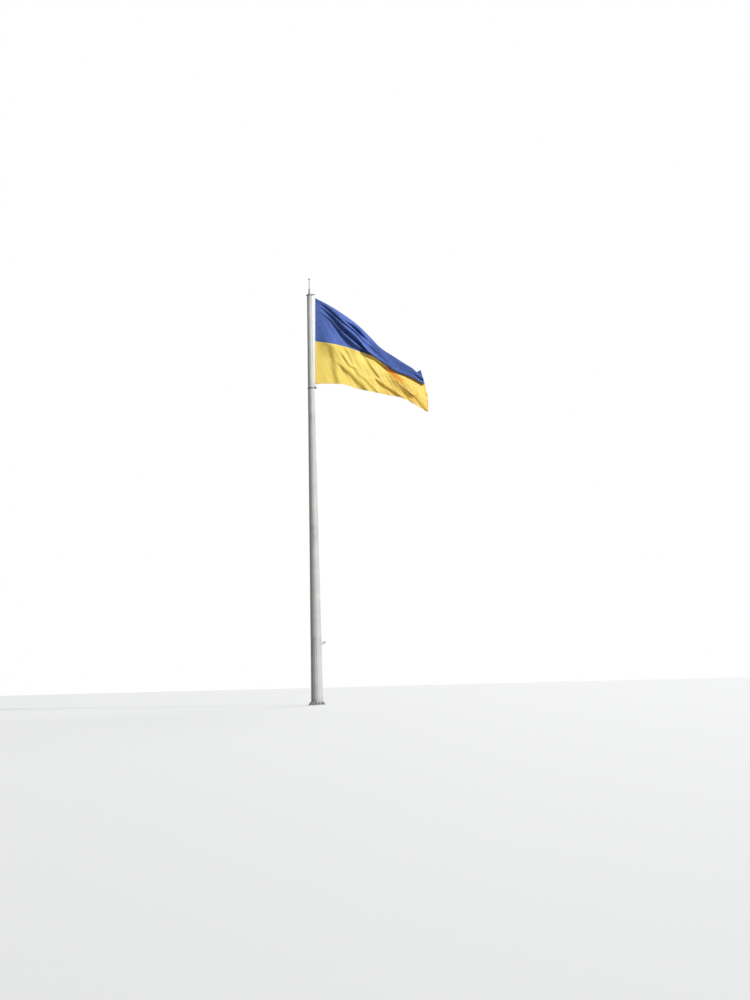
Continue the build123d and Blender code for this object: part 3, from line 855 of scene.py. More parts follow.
@dataclass(frozen=True)
class Cloth(Finish):
    """Woven flag cloth: its colours, the light through it, and a painted glow of light coming through the
    cloth.

    through is how much light spreads inside, depth how far in metres, and glow the share of that for red,
    green and blue. The painted glow tint is orange painted light, as if the sun came through the cloth, and
    its share is how strongly it shows.
    """

    group, body = "flag_weave", staticmethod(cloth_body)
    inputs = ("tint", "faded", "shade", "thread", "doubled", "fade", "glowing")

    tint: tuple = (0.3, 0.3, 0.3)
    faded: tuple = (0.4, 0.4, 0.4)
    shade: tuple = (0.2, 0.2, 0.2)
    thread: tuple = (0.5, 0.5, 0.5)
    fade: float = 0.5
    sheen: float = 0.25
    through: float = 0.5
    glow: tuple = (1.0, 0.6, 0.25)
    depth: float = 0.004
    # Painted glow: orange painted light standing in for sun through the cloth, and how strongly it shows.
    doubled: tuple = (0.93, 0.68, 0.2)
    glowing: float = 0.0

    def constants(self) -> dict[str, Value]:
        """Adds the nap's sheen and the light that comes through."""
        return {"Sheen Weight": self.sheen, "Sheen Roughness": 0.4, "Sheen Tint": colour(*self.faded),
                "Subsurface Weight": self.through, "Subsurface Radius": self.glow,
                "Subsurface Scale": self.depth}


@dataclass(frozen=True)
class Glass(Coat):
    """Clear or tinted pane or lens."""

    ior: float = 1.5

    def constants(self) -> dict[str, Value]:
        """Makes it see-through."""
        return {"Metallic": 0.0, "Transmission Weight": 0.92, "IOR": self.ior}


def shell_zinc(number: int, rim: float) -> Zinc:
    """Finish of one mast section, stained below the rim above it."""
    return Zinc(f"zinc_section_{number}", "galvanised_shell", metallic=0.05, bump=0.25, grain=0.0008,
                edge=0.012, pale=(0.825, 0.823, 0.803), dark=(0.7, 0.704, 0.702), stain=(0.51, 0.505, 0.49),
                drip_top=rim, drip=0.3, streaks=0.3, splash=0.4 if number == 1 else 0.0)


PLATE = Zinc("zinc_plate", "galvanised_plate", metallic=0.25, patch=3.0, spangle=70.0, wear=0.25, splash=0.35)
HEAD_ZINC = Zinc("zinc_head_parts", "galvanised_plate", metallic=0.25, patch=5.0, spangle=90.0, wear=0.3,
                 pale=(0.70, 0.71, 0.71), dark=(0.52, 0.53, 0.54), stain=(0.36, 0.35, 0.33), streaks=0.45)
FITTING = Zinc("zinc_fittings", "galvanised_fittings", metallic=0.3, patch=7.0, spangle=120.0, wear=0.35,
               pale=(0.74, 0.745, 0.75), dark=(0.58, 0.585, 0.59), stain=(0.43, 0.38, 0.33), streaks=0.35)
WELD = Zinc("zinc_weld_beads", "galvanised_plate", metallic=0.2, patch=20.0, spangle=260.0, bump=0.6,
            edge=0.0, pale=(0.76, 0.765, 0.76), dark=(0.6, 0.605, 0.61), stain=(0.47, 0.4, 0.33),
            streaks=0.4)
# The collar ring's near-black coat is partly its own dark coat and partly painted shade for the dark line
# round the mast at the collar.
RING = Coat("dark_ring_coat", "dark_ring", tint=(0.17, 0.18, 0.2), soil=(0.45, 0.44, 0.42), dust=0.35,
            wear=0.5, roughness=0.34)
CASTING = Coat("grey_casting", "grey_casting", metallic=0.6, tint=(0.66, 0.67, 0.68),
               soil=(0.42, 0.41, 0.39), peel=900.0, dust=0.5, wear=0.4, roughness=0.36)
LAMP_WHITE = Coat("white_lamp_coat", "white_casting", tint=(0.89, 0.895, 0.89), soil=(0.62, 0.6, 0.55),
                  dust=0.45, wear=0.15, clear=0.15)
PLASTIC = Coat("dark_sliding_plastic", "bearing_plastic", tint=(0.2, 0.2, 0.21), soil=(0.4, 0.39, 0.37),
               dust=0.3, roughness=0.45)
RUBBER = Coat("black_rubber", "bearing_plastic", tint=(0.09, 0.09, 0.095), soil=(0.35, 0.34, 0.32),
              dust=0.5, roughness=0.6)
STEEL = Satin("satin_stainless", "stainless", metallic=1.0, wear=0.2)
BRASS = Satin("dull_brass", "stainless", metallic=1.0, tint=(0.72, 0.6, 0.36), tarnish=(0.42, 0.34, 0.22))
ROPE = Rope("steel_rope", "wire_rope", metallic=0.85, bump=0.5, edge=0.0)
BLUE = Cloth("blue_flag_cloth", "blue_cloth", bump=0.15, edge=0.0, tint=(0.26, 0.372, 0.66),
             faded=(0.36, 0.47, 0.76), shade=(0.13, 0.19, 0.45), thread=(0.2, 0.28, 0.6))
# The yellow's painted glow paints orange light, as if the sun came through the cloth, below the blue band's
# fold.
YELLOW = Cloth("yellow_flag_cloth", "yellow_cloth", bump=0.15, edge=0.0, tint=(1.0, 0.82, 0.415),
               faded=(1.0, 0.865, 0.52), shade=(0.78, 0.62, 0.22), thread=(0.9, 0.76, 0.3), through=0.75,
               depth=0.014, glow=(1.0, 0.85, 0.6), doubled=(0.88, 0.56, 0.12), glowing=1.0)
RED = Glass("red_lens", "red_lens", tint=(0.62, 0.03, 0.03), soil=(0.3, 0.05, 0.05), dust=0.25,
            roughness=0.06, edge=0.0, ior=1.49)
CLEAR = Glass("lamp_glass", "clear_glass", tint=(0.93, 0.96, 0.96), soil=(0.6, 0.62, 0.6), dust=0.2,
              roughness=0.02, edge=0.0)


def mesh_of(name: str, shape: Shape) -> bpy.types.Mesh:
    """Mesh of a shape's points and faces.

    Args:
        name: Mesh name.
        shape: Surfaces in the row frame.

    Returns:
        The mesh.
    """
    mesh = bpy.data.meshes.new(name)
    mesh.from_pydata(shape.verts.tolist(), [], [row for table in shape.faces for row in table.tolist()])
    return mesh


def linked(name: str, data: bpy.types.ID) -> bpy.types.Object:
    """Object of some data, put into the scene.

    Args:
        name: Object name.
        data: Mesh, lamp or camera.

    Returns:
        The object.
    """
    made = bpy.data.objects.new(name, data)
    bpy.context.scene.collection.objects.link(made)
    return made


def piece(name: str, shapes: Shape | list[Shape], body: str, finish: Finish, sharp: float = 35.0,
          stands_for: tuple[str, ...] = ()) -> bpy.types.Object:
    """Makes a mesh object of one shape or several, dresses it and lets it ride.

    Args:
        name: Object name.
        shapes: Surfaces in the row frame.
        body: CAD body that it moves with.
        finish: Its finish.
        sharp: Angle in degrees above which an edge stays crisp.
        stands_for: CAD nodes that it replaces.

    Returns:
        The object.
    """
    shape = Shape.joined(shapes) if isinstance(shapes, list) else shapes
    mesh = mesh_of(name, shape)
    layer = mesh.uv_layers.new(name="UVMap")
    uv = np.concatenate([table.reshape(-1) for table in shape.uv])
    layer.data.foreach_set("uv", uv.astype(np.float32))
    mesh.materials.append(finish.material())
    mesh.shade_smooth()
    mesh.set_sharp_from_angle(angle=math.radians(sharp))
    made = linked(name, mesh)
    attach(made, body)
    if stands_for:
        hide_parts(*stands_for)
    LOG.info("%s: %d faces on %s", name, len(mesh.polygons), body)
    return made


def weld(name: str, beads: list[Shape], body: str) -> None:
    """Makes one piece of some weld beads."""
    piece(name, beads, body, WELD, 60.0)


def dress(finish: Finish, *nodes: str) -> None:
    """Gives CAD nodes their finish.

    Args:
        finish: The finish.
        nodes: Names of the nodes.
    """
    for node in nodes:
        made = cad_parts[node]
        made.data.materials.clear()
        made.data.materials.append(finish.material())
        LOG.info("%s: dressed in %s", node, finish.name)


@dataclass(frozen=True)
class Fastener:
    """Bolt end above a plate: washer, hexagon and threaded tip, along +Z from the plate's face."""

    across: float
    head: float
    washer: float = 0.0
    tip: float = 0.0
    lock_nut: bool = False

    def shape(self) -> Shape:
        """Washer, nut or head, and a tip whose thread is a saw-tooth radius.

        Returns:
            The fastener, standing on z = 0.
        """
        top = 0.12 * self.across if self.washer else 0.0
        parts = []
        if self.washer:
            parts.append(drum(self.washer, 0.0, top, 0.15 * top, 24))
        for height in (self.head, 0.6 * self.head)[:2 if self.lock_nut else 1]:
            parts.append(hexagonal(self.across, top, top + height))
            top += height
        if self.tip:
            r, turns = 0.31 * self.across, max(2, round(self.tip / (0.07 * self.across)))
            z = np.linspace(top - 0.002, top + self.tip, 2 * turns + 1)
            radius = np.where(np.arange(len(z)) % 2, r, 0.93 * r)
            radius[-1] = 0.8 * r
            parts.append(turned(list(zip(radius, z)), 16))
        return Shape.joined(parts)

    def set_at(self, name: str, frames: Array | list[Array], body: str, finish: Finish = FITTING) -> None:
        """Makes one piece of a fastener in every frame."""
        piece(name, self.shape().placed(frames), body, finish)


# Mast and foot

@dataclass(frozen=True)
class Mast:
    """Tapered sixteen-sided shells in slip joints, with what is welded and bolted to them."""

    sides: int = 16
    base_across: float = 1.045
    taper: float = 0.01708
    steps: tuple[float, ...] = (0.0, 0.0126, 0.0232, 0.0318)
    rims: tuple[float, ...] = (5.83, 15.67, 25.69)
    top: float = 36.88
    track_foot: float = 28.2165
    flange_top: float = 0.045
    bolt_circle: float = 1.3
    gusset_top: float = 0.305
    gusset_foot: float = 0.725
    gusset_t: float = 0.014
    earth_z: float = 0.42
    foot_bead: float = 0.008
    fillet: float = 0.006
    track_bead: float = 0.005
    seam_bead: float = 0.0045

    def flat(self, level: int, z: Array | float) -> Array | float:
        """Distance from the axis to an outer flat of a shell at a height."""
        return (self.base_across - self.taper * z + self.steps[level]) / 2.0

    def half_flat(self, z: float) -> float:
        """Half the width of a flat of the lowest shell."""
        return self.flat(0, z) * math.tan(math.pi / self.sides)

    def facet(self, level: int, angle: float, z: float, shift: float = 0.0) -> Array:
        """Frame on an outer flat: X across it, Y up, Z outward.

        Args:
            level: Shell, from 0 at the foot.
            angle: Direction of the flat in degrees.
            z: Height.
            shift: How far along X.

        Returns:
            The 4x4 frame.
        """
        a, tilt = math.radians(angle), math.atan(self.taper / 2.0)
        r = self.flat(level, z)
        out = (math.cos(a) * math.cos(tilt), math.sin(a) * math.cos(tilt), math.sin(tilt))
        side = (-math.sin(a), math.cos(a), 0.0)
        x, y = (out[k] / math.cos(tilt) * r + side[k] * shift for k in (0, 1))
        return frame_at((x, y, z), out, side)

    def ring_weld(self, level: int, z: float, radius: float) -> Shape:
        """Bead round a shell, at the flat's distance over the cosine of the angle off the flat's middle.

        Args:
            level: Shell, from 0 at the foot.
            z: Height.
            radius: The bead's own.

        Returns:
            The closed bead.
        """
        angle = round_angles(320)
        r = (self.flat(level, z) + 0.001) / np.cos(off_middle(angle, TAU / self.sides))
        return ring_bead(np.stack([r * np.cos(angle), r * np.sin(angle)], -1), z, radius)

    def welds(self) -> None:
        """Fillets round the foot and the head, along the gussets, and a long seam on each section."""
        z0, z1 = self.flange_top, self.gusset_top
        half = self.gusset_t / 2.0 + 0.001
        corner = (self.flat(0, z0), half, z0)
        upright = bead(line(corner, (self.flat(0, z1), half, z1), 40), self.fillet, Y_WAY)
        lying = bead(line(corner, (self.gusset_foot, half, z0), 34), self.fillet, Y_WAY)
        pair = Shape.joined([upright, lying])
        mirrored = pair.placed(np.diag([1.0, -1.0, 1.0, 1.0])).inside_out()
        gussets = Shape.joined([pair, mirrored]).placed(polar(self.sides, 0.0, 0.0))
        weld("foot_weld_beads", [self.ring_weld(0, self.flange_top, self.foot_bead), gussets], FIXED)
        seams = []
        for level, (z0, z1) in enumerate(zip((self.gusset_top, *self.rims), (*self.rims, self.top))):
            a = math.radians(112.5 + 90.0 * level)
            z = np.linspace(z0 + 0.02, z1 - 0.02, int((z1 - z0) / 0.03))
            r = self.flat(level, z) - 0.0015
            path = np.stack([math.cos(a) * r, math.sin(a) * r, z], -1)
            seams.append(bead(path, self.seam_bead, (-math.sin(a), math.cos(a), 0.0)))
        weld("section_seam_welds", seams, FIXED)
        head = self.ring_weld(3, self.top - 0.001, self.fillet)
        track = self.ring_weld(3, self.track_foot, self.track_bead)
        weld("head_weld_beads", [head, track], FIXED)

    def lug_welds(self) -> None:
        """Small fillets round every lug on the slip joints and the earthing lug."""
        spots = [self.facet(level, angle, rim + rise) for k, rim in enumerate(self.rims)
                 for angle in (90.0, 270.0) for level, rise in ((k, -0.13), (k + 1, 0.13))]
        slip, earth = (ring_bead(rounded_box((wide, 0.094), 0.004, 4), 0.0, 0.004) for wide in (0.044, 0.064))
        earth = earth.placed(self.facet(0, 90.0, self.earth_z))
        weld("lug_weld_beads", [slip.placed(spots), earth], FIXED)

    def bolts(self) -> None:
        """Anchor studs with washers and double nuts, and the earthing bolt."""
        ring = polar(16, self.bolt_circle / 2.0, self.flange_top, 11.25)
        Fastener(0.065, 0.034, 0.043, 0.03, lock_nut=True).set_at("anchor_nuts_and_studs", ring, FIXED)
        earth = shifted(self.facet(0, 90.0, self.earth_z), z=0.012)
        Fastener(0.019, 0.01, 0.013, 0.012).set_at("earthing_bolt", earth, FIXED, STEEL)

    def build(self) -> None:
        """Dresses the shells, the foot and the lugs."""
        for k, rim in enumerate((*self.rims, self.top), 1):
            dress(shell_zinc(k, rim), f"mast_section_{k}")
        dress(PLATE, "base_flange", "base_gussets")
        dress(FITTING, "slip_lugs_1", "slip_lugs_2", "slip_lugs_3", "earthing_lug")
        self.welds()
        self.lug_welds()
        self.bolts()


@dataclass(frozen=True)
class Door:
    """Service door on the -X side: seal in the gap, hinge pins and screws, lock inserts."""

    mast: Mast
    middle: float = 1.3
    size: tuple[float, float] = (0.3, 1.2)
    corner: float = 0.11
    gap: float = 0.004
    hinge_side: float = 202.5
    hinge_rise: float = 0.4
    lock_side: float = 157.5
    lock_rise: float = 0.33

    def on_wall(self, outline: Array, out: float) -> Array:
        """Lifts an outline onto the -X wall: the nearer of the middle flat and its two neighbours.

        Args:
            outline: Rows of (across, up) from the door's middle.
            out: How far off the wall.

        Returns:
            Points in the row frame.
        """
        y, z = outline[:, 0], outline[:, 1] + self.middle
        r = self.mast.flat(0, z) + out
        a = TAU / self.mast.sides
        x = -np.minimum(r, (r - np.abs(y) * math.sin(a)) / math.cos(a))
        return np.stack([x, y, z], -1)

    def seal(self) -> None:
        """Rubber strip that fills the gap behind the door's edge."""
        size = (self.size[0] - self.gap, self.size[1] - self.gap)
        outline = rounded_box(size, self.corner - self.gap / 2.0, 14)
        dense = np.linspace(np.roll(outline, 1, 0), outline, 6, endpoint=False, axis=1).reshape(-1, 2)
        path = self.on_wall(dense, -0.0065)
        section = rounded_box((0.0036, 0.004), 0.001, 3)
        piece("door_seal", carried(section, path, (-1, 0, 0), Ends.LOOPED), FIXED, RUBBER)

    def hinges(self) -> None:
        """Pins with domed ends in the barrels and four screws in each leaf."""
        half = self.mast.half_flat(self.middle)
        shift = (self.size[0] / 2.0 - half) / math.cos(TAU / self.mast.sides) - half
        screw = turned([(0.0045, 0.0), (0.0045, 0.0012), (0.0036, 0.002), (0.0015, 0.0024)], 16)
        end = [(0.0052, 0.051), (0.0062, 0.0485), (0.0062, 0.046), (0.005, 0.0455)]
        pin = turned([(r, -z) for r, z in end] + end[::-1], 16)
        upright = np.array([[1, 0, 0, 0], [0, 0, -1, 0], [0, 1, 0, 0], [0, 0, 0, 1.0]])
        screws, pins = [], []
        for rise in (-self.hinge_rise, self.hinge_rise):
            base = self.mast.facet(0, self.hinge_side, self.middle + rise, shift)
            spots = [shifted(base, x, y, 0.006) for x in (-0.019, 0.019) for y in (-0.03, 0.03)]
            screws.append(screw.placed(spots))
            pins.append(pin.placed(shifted(base, z=0.006) @ upright))
        piece("hinge_screws", screws, FIXED, STEEL)
        piece("hinge_pins", pins, FIXED, STEEL)

    def locks(self) -> None:
        """Key insert in each lock: a collar with a three-cornered post in its well."""
        rim = turned([(0.013, 0.0), (0.0165, 0.0), (0.0165, 0.0018), (0.0155, 0.003), (0.011, 0.003),
                      (0.0095, 0.0015), (0.0095, 0.0005)], 32)
        post = hexagonal(0.009, 0.0, 0.0032, 0.05)
        shift = self.mast.half_flat(self.middle) - 0.024
        spots = np.array([shifted(self.mast.facet(0, self.lock_side, self.middle + rise, shift), z=0.012)
                          for rise in (-self.lock_rise, self.lock_rise)])
        piece("lock_inserts", [rim.placed(spots), post.placed(spots)], FIXED, STEEL)

    def build(self) -> None:
        """Dresses the door, its frame and its fittings."""
        dress(shell_zinc(5, self.middle - 0.6), "service_door")
        dress(PLATE, "door_frame")
        dress(FITTING, "door_hinges", "door_locks")
        self.seal()
        self.hinges()
        self.locks()


# Floodlight

@dataclass(frozen=True)
class Floodlight:
    """Up-tilted lamp on a bracket: finned cast housing, framed glass over a lens board, yoke and arm."""

    mast: Mast
    centre: tuple[float, float, float] = (0.73, 0.0, 5.47)
    tilt: float = 14.0
    size: tuple[float, float] = (0.392, 0.32)
    half_height: float = 0.046
    arm_z: float = 5.305
    arm_half: float = 0.025
    arm_end: float = 0.7572
    yoke_y: float = 0.1663
    fin_y: float = 0.118
    fin_half: float = 0.0016

    def local(self) -> Array:
        """The lamp's own frame, tilted up at its outer end."""
        a = math.radians(self.tilt)
        return frame_at(self.centre, (-math.sin(a), 0.0, math.cos(a)), (math.cos(a), 0.0, math.sin(a)))

    def housing(self) -> None:
        """Cast box drawn in below, open above to a seat for the glass, with fins under it."""
        h = self.half_height
        levels = [(0.03, -0.030), (0.012, -0.028), (0.005, -0.018), (0.0, 0.004), (0.0, h - 0.002),
                  (0.002, h), (0.0145, h), (0.016, h - 0.0015), (0.016, 0.032), (0.022, 0.032), (0.022, 0.0)]
        body = stacked(self.size, 0.022, levels, 8)
        outline = [(-0.16, -0.024), (-0.15, -0.041), (-0.14, -h), (0.14, -h), (0.15, -0.041), (0.16, -0.024)]
        half = self.fin_half
        layers = ((-half, 0.995), (-half * 0.7, 1.0), (half * 0.7, 1.0), (half, 0.995))
        fins = [skin(np.array([[(x * share, y + side, z) for x, z in outline] for side, share in layers]))
                for y in np.linspace(-self.fin_y, self.fin_y, 15)]
        piece("lamp_cast_housing", Shape.joined([body, *fins]).placed(self.local()), FIXED, LAMP_WHITE,
              stands_for=("floodlight_housing",))

    def optics(self) -> None:
        """Glass pane with a dark seal, a reflector board and rows of small lenses under it."""
        inner = (self.size[0] - 0.0326, self.size[1] - 0.0326)
        pane = stacked(inner, 0.006, [(0.0012, 0.0322), (0.0, 0.0334), (0.0, 0.0368), (0.0012, 0.038)], 5)
        piece("lamp_glass_pane", pane.placed(self.local()), FIXED, CLEAR, stands_for=("floodlight_glass",))
        ring = rounded_box((inner[0] - 0.004, inner[1] - 0.004), 0.005, 5)
        seal = carried(rounded_box((0.0036, 0.0016), 0.0006, 2), raised(ring, 0.0388), Z_WAY, Ends.LOOPED)
        piece("lamp_glass_seal", seal.placed(self.local()), FIXED, RUBBER)
        steps = [(0.0, 0.0005), (0.0, 0.006), (0.008, 0.007), (0.012, 0.005)]
        board = stacked((0.344, 0.272), 0.004, steps, 4)
        piece("lamp_reflector_board", board.placed(self.local()), FIXED, LAMP_WHITE)
        lens = turned([(0.012, 0.005), (0.0135, 0.008), (0.0125, 0.013), (0.0095, 0.0165),
                       (0.005, 0.0182)], 16)
        spots = [shifted(self.local(), x, y) for x in np.linspace(-0.142, 0.142, 9)
                 for y in np.linspace(-0.108, 0.108, 7)]
        piece("lamp_lens_rows", lens.placed(spots), FIXED, CLEAR)
        x, y = np.array([-1, 1, 1, -1, 0, 0]) * 0.186, np.array([-1, -1, 1, 1, -1, 1]) * 0.15
        spots = [shifted(self.local(), a, b, self.half_height - 0.0005) for a, b in zip(x, y)]
        Fastener(0.008, 0.003).set_at("lamp_frame_screws", spots, FIXED, STEEL)

    def mount(self) -> None:
        """Pivot bolts, the yoke's bolt, the arm's end plug and the pad's bolts."""
        x, z = self.centre[0], self.arm_z
        sides = [frame_at((x, s * self.yoke_y, self.centre[2]), (0, s, 0)) for s in (-1, 1)]
        stays = [frame_at((x, 0, z + self.arm_half + 0.006)),
                 frame_at((x, 0, z - self.arm_half), (0, 0, -1))]
        pad = self.mast.facet(0, 0.0, z)
        corners = [shifted(pad, a, b, 0.008) for a in (-0.046, 0.046) for b in (-0.072, 0.072)]
        bolts = [Fastener(0.024, 0.012, 0.019, 0.008).shape().placed(sides),
                 Fastener(0.024, 0.012, 0.019, 0.006).shape().placed(stays),
                 Fastener(0.019, 0.0095, 0.015, 0.006).shape().placed(corners)]
        piece("lamp_mount_bolts", bolts, FIXED, FITTING)
        plug = slab((0.05, 0.05, 0.005), 0.0015).placed(frame_at((self.arm_end, 0, z), X_WAY, Z_WAY))
        piece("lamp_arm_plug", plug, FIXED, PLASTIC)
        root = ring_bead(rounded_box((0.052, 0.052), 0.004, 4), 0.0085, 0.0035)
        weld("lamp_arm_weld", [root.placed(pad)], FIXED)

    def build(self) -> None:
        """Dresses the bracket and builds the lamp."""
        dress(FITTING, "floodlight_bracket", "floodlight_yoke")
        self.housing()
        self.optics()
        self.mount()


# Head of the pole

@dataclass(frozen=True)
class Head:
    """Fixed head plate and lamp mast, and the truck that turns round them."""

    disc_top: float = 36.9203
    disc_r: float = 0.3
    wall_top: float = 37.0403
    socket_z: float = 37.1143
    socket_top: float = 37.4743
    rod_top: float = 38.2863
    lens_z: float = 38.3363
    lens_top: float = 38.4763
    lens_r: float = 0.084
    rib: float = 0.0028
    sheave: tuple[float, float] = (0.441, 36.9623)
    rope_z: float = 37.0006
    cheek: float = 0.025

    def lamp(self) -> None:
        """Ribbed hollow lens over stacked rings of small lamps, its seal and its cap."""
        z = np.linspace(self.lens_z, self.lens_top - 0.05, 29)
        wave = self.lens_r - self.rib * (0.5 - 0.5 * np.cos(np.arange(29) * TAU / 4.0))
        top = self.lens_top
        crown = ((0.0805, 0.038), (0.075, 0.024), (0.066, 0.0135), (0.054, 0.006), (0.036, 0.0),
                 (0.034, 0.004), (0.052, 0.0105), (0.063, 0.018), (0.0705, 0.028), (0.0775, 0.05))
        wall = [*zip(wave, z), *((r, top - low) for r, low in crown), (0.0775, self.lens_z)]
        piece("warning_lamp_lens", turned(wall, 64, Ends.LOOPED), FIXED, RED,
              stands_for=("obstruction_light_lens",))
        core = [(0.03, self.lens_z), (0.03, self.lens_z + 0.012)]
        for k in range(5):
            at = self.lens_z + 0.012 + 0.021 * k
            core += [(0.045, at), (0.046, at + 0.003), (0.046, at + 0.009), (0.045, at + 0.012),
                     (0.03, at + 0.014)]
        core += [(0.028, top - 0.01), (0.036, top - 0.002), (0.036, top)]
        piece("warning_lamp_core", turned(core, 24), FIXED, CASTING)
        seal = [(0.0705, self.lens_z - 0.004), (0.079, self.lens_z - 0.003), (0.0835, self.lens_z + 0.001),
                (0.0845, self.lens_z + 0.004), (0.076, self.lens_z + 0.0002)]
        piece("warning_lamp_seal", turned(seal, 48, Ends.LOOPED), FIXED, RUBBER)
        spots = polar(6, 0.0695, self.rod_top + 0.034, 15.0, Facing.OUT)
        Fastener(0.01, 0.005, 0.0075).set_at("warning_lamp_screws", spots, FIXED, STEEL)

    def post(self) -> None:
        """Weld round the rain cap, clamp bolts of the socket and a cable saddle on the lamp mast."""
        rows = [polar(4, 0.0875, z, 45.0, Facing.OUT) for z in (self.socket_z + 0.07, self.socket_top - 0.06)]
        Fastener(0.024, 0.013, 0.018, 0.006).set_at("socket_bolts", np.concatenate(rows), FIXED)
        weld("rain_cap_weld", [ring_bead(circle(0.0885, 96), self.socket_z + 0.001, 0.004)], FIXED)
        heights = (self.socket_top + 0.3, self.rod_top - 0.12)
        inner, outer, half = 0.0362, 0.0385, 0.011
        bands = [turned([(inner, z - half), (outer, z - half), (outer, z + half), (inner, z + half)], 40,
                        Ends.LOOPED) for z in heights]
        ear = slab((0.014, 0.012, 0.02), 0.0015)
        ears = [ear.placed(frame_at((0.0, -0.044, z))) for z in heights]
        piece("lamp_mast_clips", bands + ears, FIXED, STEEL)

    def truck(self) -> None:
        """Disc bolts, rolled skirt edge, housing weld, roof screws and rope bush."""
        top = self.disc_top
        Fastener(0.019, 0.01, 0.015, 0.005).set_at("truck_disc_bolts", polar(12, 0.262, top, 15.0), TURNING)
        roll = circle(0.0045, 12) + (self.disc_r - 0.003, top - 0.044)
        piece("skirt_rolled_edge", turned(roll, 96, Ends.LOOPED), TURNING, HEAD_ZINC)
        runs = [bead(line((0.145, y, top), (0.298, y, top), 24), 0.0035, Z_WAY) for y in (-0.0255, 0.0255)]
        weld("truck_weld_beads", [ring_bead(circle(0.1385, 160), top + 0.001, 0.004), *runs], TURNING)
        dome = turned([(0.0075, 0.0), (0.0075, 0.0015), (0.006, 0.004), (0.003, 0.0052)], 16)
        spots = polar(8, 0.138, self.wall_top - 0.018, 22.5, Facing.OUT)
        piece("housing_screws", dome.placed(spots), TURNING, STEEL)
        bush = turned([(0.006, -0.004), (0.0135, -0.004), (0.014, 0.0), (0.0125, 0.004), (0.0075, 0.005),
                       (0.0058, 0.003)], 24, Ends.LOOPED)
        at = frame_at((0.142, 0.0, self.rope_z), X_WAY, Z_WAY)
        piece("rope_bush", bush.placed(at), TURNING, PLASTIC)

    def arm(self) -> None:
        """Spacers and their bolts between the cheeks, split pins and a greaser on the sheave pin."""
        x, z = self.sheave
        spacer = drum(0.01, -0.0168, 0.0168, 0.001, 20)
        spots = [(0.205, 36.956), (0.33, 36.956), (0.497, 36.948)]
        across = np.array([frame_at((a, 0.0, b), Y_WAY) for a, b in spots])
        piece("arm_spacers", spacer.placed(across), TURNING, FITTING)
        faces = [frame_at((a, s * self.cheek, b), (0, s, 0)) for a, b in spots for s in (-1, 1)]
        Fastener(0.017, 0.008, 0.013, 0.004).set_at("arm_bolts", faces, TURNING)
        angle = np.linspace(0.0, TAU * 0.75, 20)
        eye = np.stack([0.004 * np.cos(angle), np.zeros(20), 0.004 * np.sin(angle)], -1)
        leg = line((0.0, 0.0, -0.004), (0.014, 0.0, -0.012), 6)
        split = carried(circle(0.0012, 6), np.vstack([eye, leg]), Y_WAY)
        nipple = turned([(0.004, 0.0), (0.004, 0.004), (0.0022, 0.0055), (0.003, 0.008),
                         (0.0015, 0.0095)], 12)
        ends = [split.placed(frame_at((x, s * 0.0335, z + 0.008))) for s in (-1, 1)]
        ends.append(nipple.placed(frame_at((x, -0.033, z), (0, -1, 0))))
        piece("sheave_pin_keepers", ends, TURNING, STEEL)

    def build(self) -> None:
        """Dresses the head's nodes and adds what is bolted and welded to them."""
        dress(HEAD_ZINC, "head_plate", "spindle", "rod_socket", "rod_ferrule", "light_mast", "truck_disc",
              "truck_housing", "truck_arm")
        dress(CASTING, "obstruction_light_base", "obstruction_light_cap")
        dress(PLASTIC, "slide_ring", "tip_sheave")
        dress(STEEL, "sheave_pin")
        self.lamp()
        self.post()
        self.truck()
        self.arm()


# Collar and halyard

@dataclass(frozen=True)
class Collar:
    """Split ring at the foot of the flag, sliding round its track."""

    base: float = 28.2253
    height: float = 0.056
    outer: float = 0.329
    track_r: float = 0.312
    ear_y: float = 0.345
    swivel_x: float = 0.341
    swivel_top: float = 28.5197

    def pads(self) -> None:
        """Sliding pads on the inside of the ring, a millimetre off the track."""
        pad = stacked((0.0036, 0.05), 0.001, [(0.0006, 0.004), (0.0, 0.006), (0.0, 0.05), (0.0006, 0.052)], 3)
        spots = polar(8, self.track_r + 0.0031, self.base, 22.5)
        piece("collar_slide_pads", pad.placed(spots), TURNING, PLASTIC)

    def bolts(self) -> None:
        """Bolts through the ears, and a fillet up each side of the bracket's foot."""
        middle = self.base + self.height / 2.0
        ears = [frame_at((s * 0.018, t * self.ear_y, middle), (s, 0, 0), Z_WAY)
                for s in (-1, 1) for t in (-1, 1)]
        Fastener(0.019, 0.01, 0.0, 0.006).set_at("collar_ear_bolts", ears, TURNING)
        x, low, high = self.outer + 0.001, self.base + 0.002, self.base + self.height
        runs = [bead(line((x, y, low), (x, y, high), 14), 0.003, X_WAY) for y in (-0.0065, 0.0065)]
        weld("collar_bracket_welds", runs, TURNING)

    def tack(self) -> None:
        """Swivel between the bracket and the halyard: turned body, pin and bow."""
        x, z0, z1 = self.swivel_x, self.base + 0.27, self.swivel_top
        body = turned([(0.0085, z0), (0.011, z0 + 0.0015), (0.011, z0 + 0.008), (0.0075, z0 + 0.011),
                       (0.0075, z0 + 0.0135), (0.0105, z0 + 0.016), (0.0105, z1 - 0.0015), (0.009, z1)], 28)
        angle = np.linspace(-0.2 * math.pi, 1.2 * math.pi, 28)
        bow = np.stack([np.full(28, x), 0.0135 * np.cos(angle), z0 - 0.004 - 0.0135 * np.sin(angle)], -1)
        pin = carried(circle(0.003, 10), line((x, -0.0165, z0 - 0.02), (x, 0.0165, z0 - 0.02), 4), Z_WAY)
        loop = carried(circle(0.0032, 10), bow, X_WAY)
        piece("tack_swivel_shackle", [body.placed(shifted(np.eye(4), x)), pin, loop], TURNING, STEEL,
              stands_for=("tack_swivel",))

    def build(self) -> None:
        """Dresses the ring, its track and bracket."""
        dress(RING, "collar_track", "collar_half_1", "collar_half_2", "collar_ears", "collar_bracket")
        self.pads()
        self.bolts()
        self.tack()


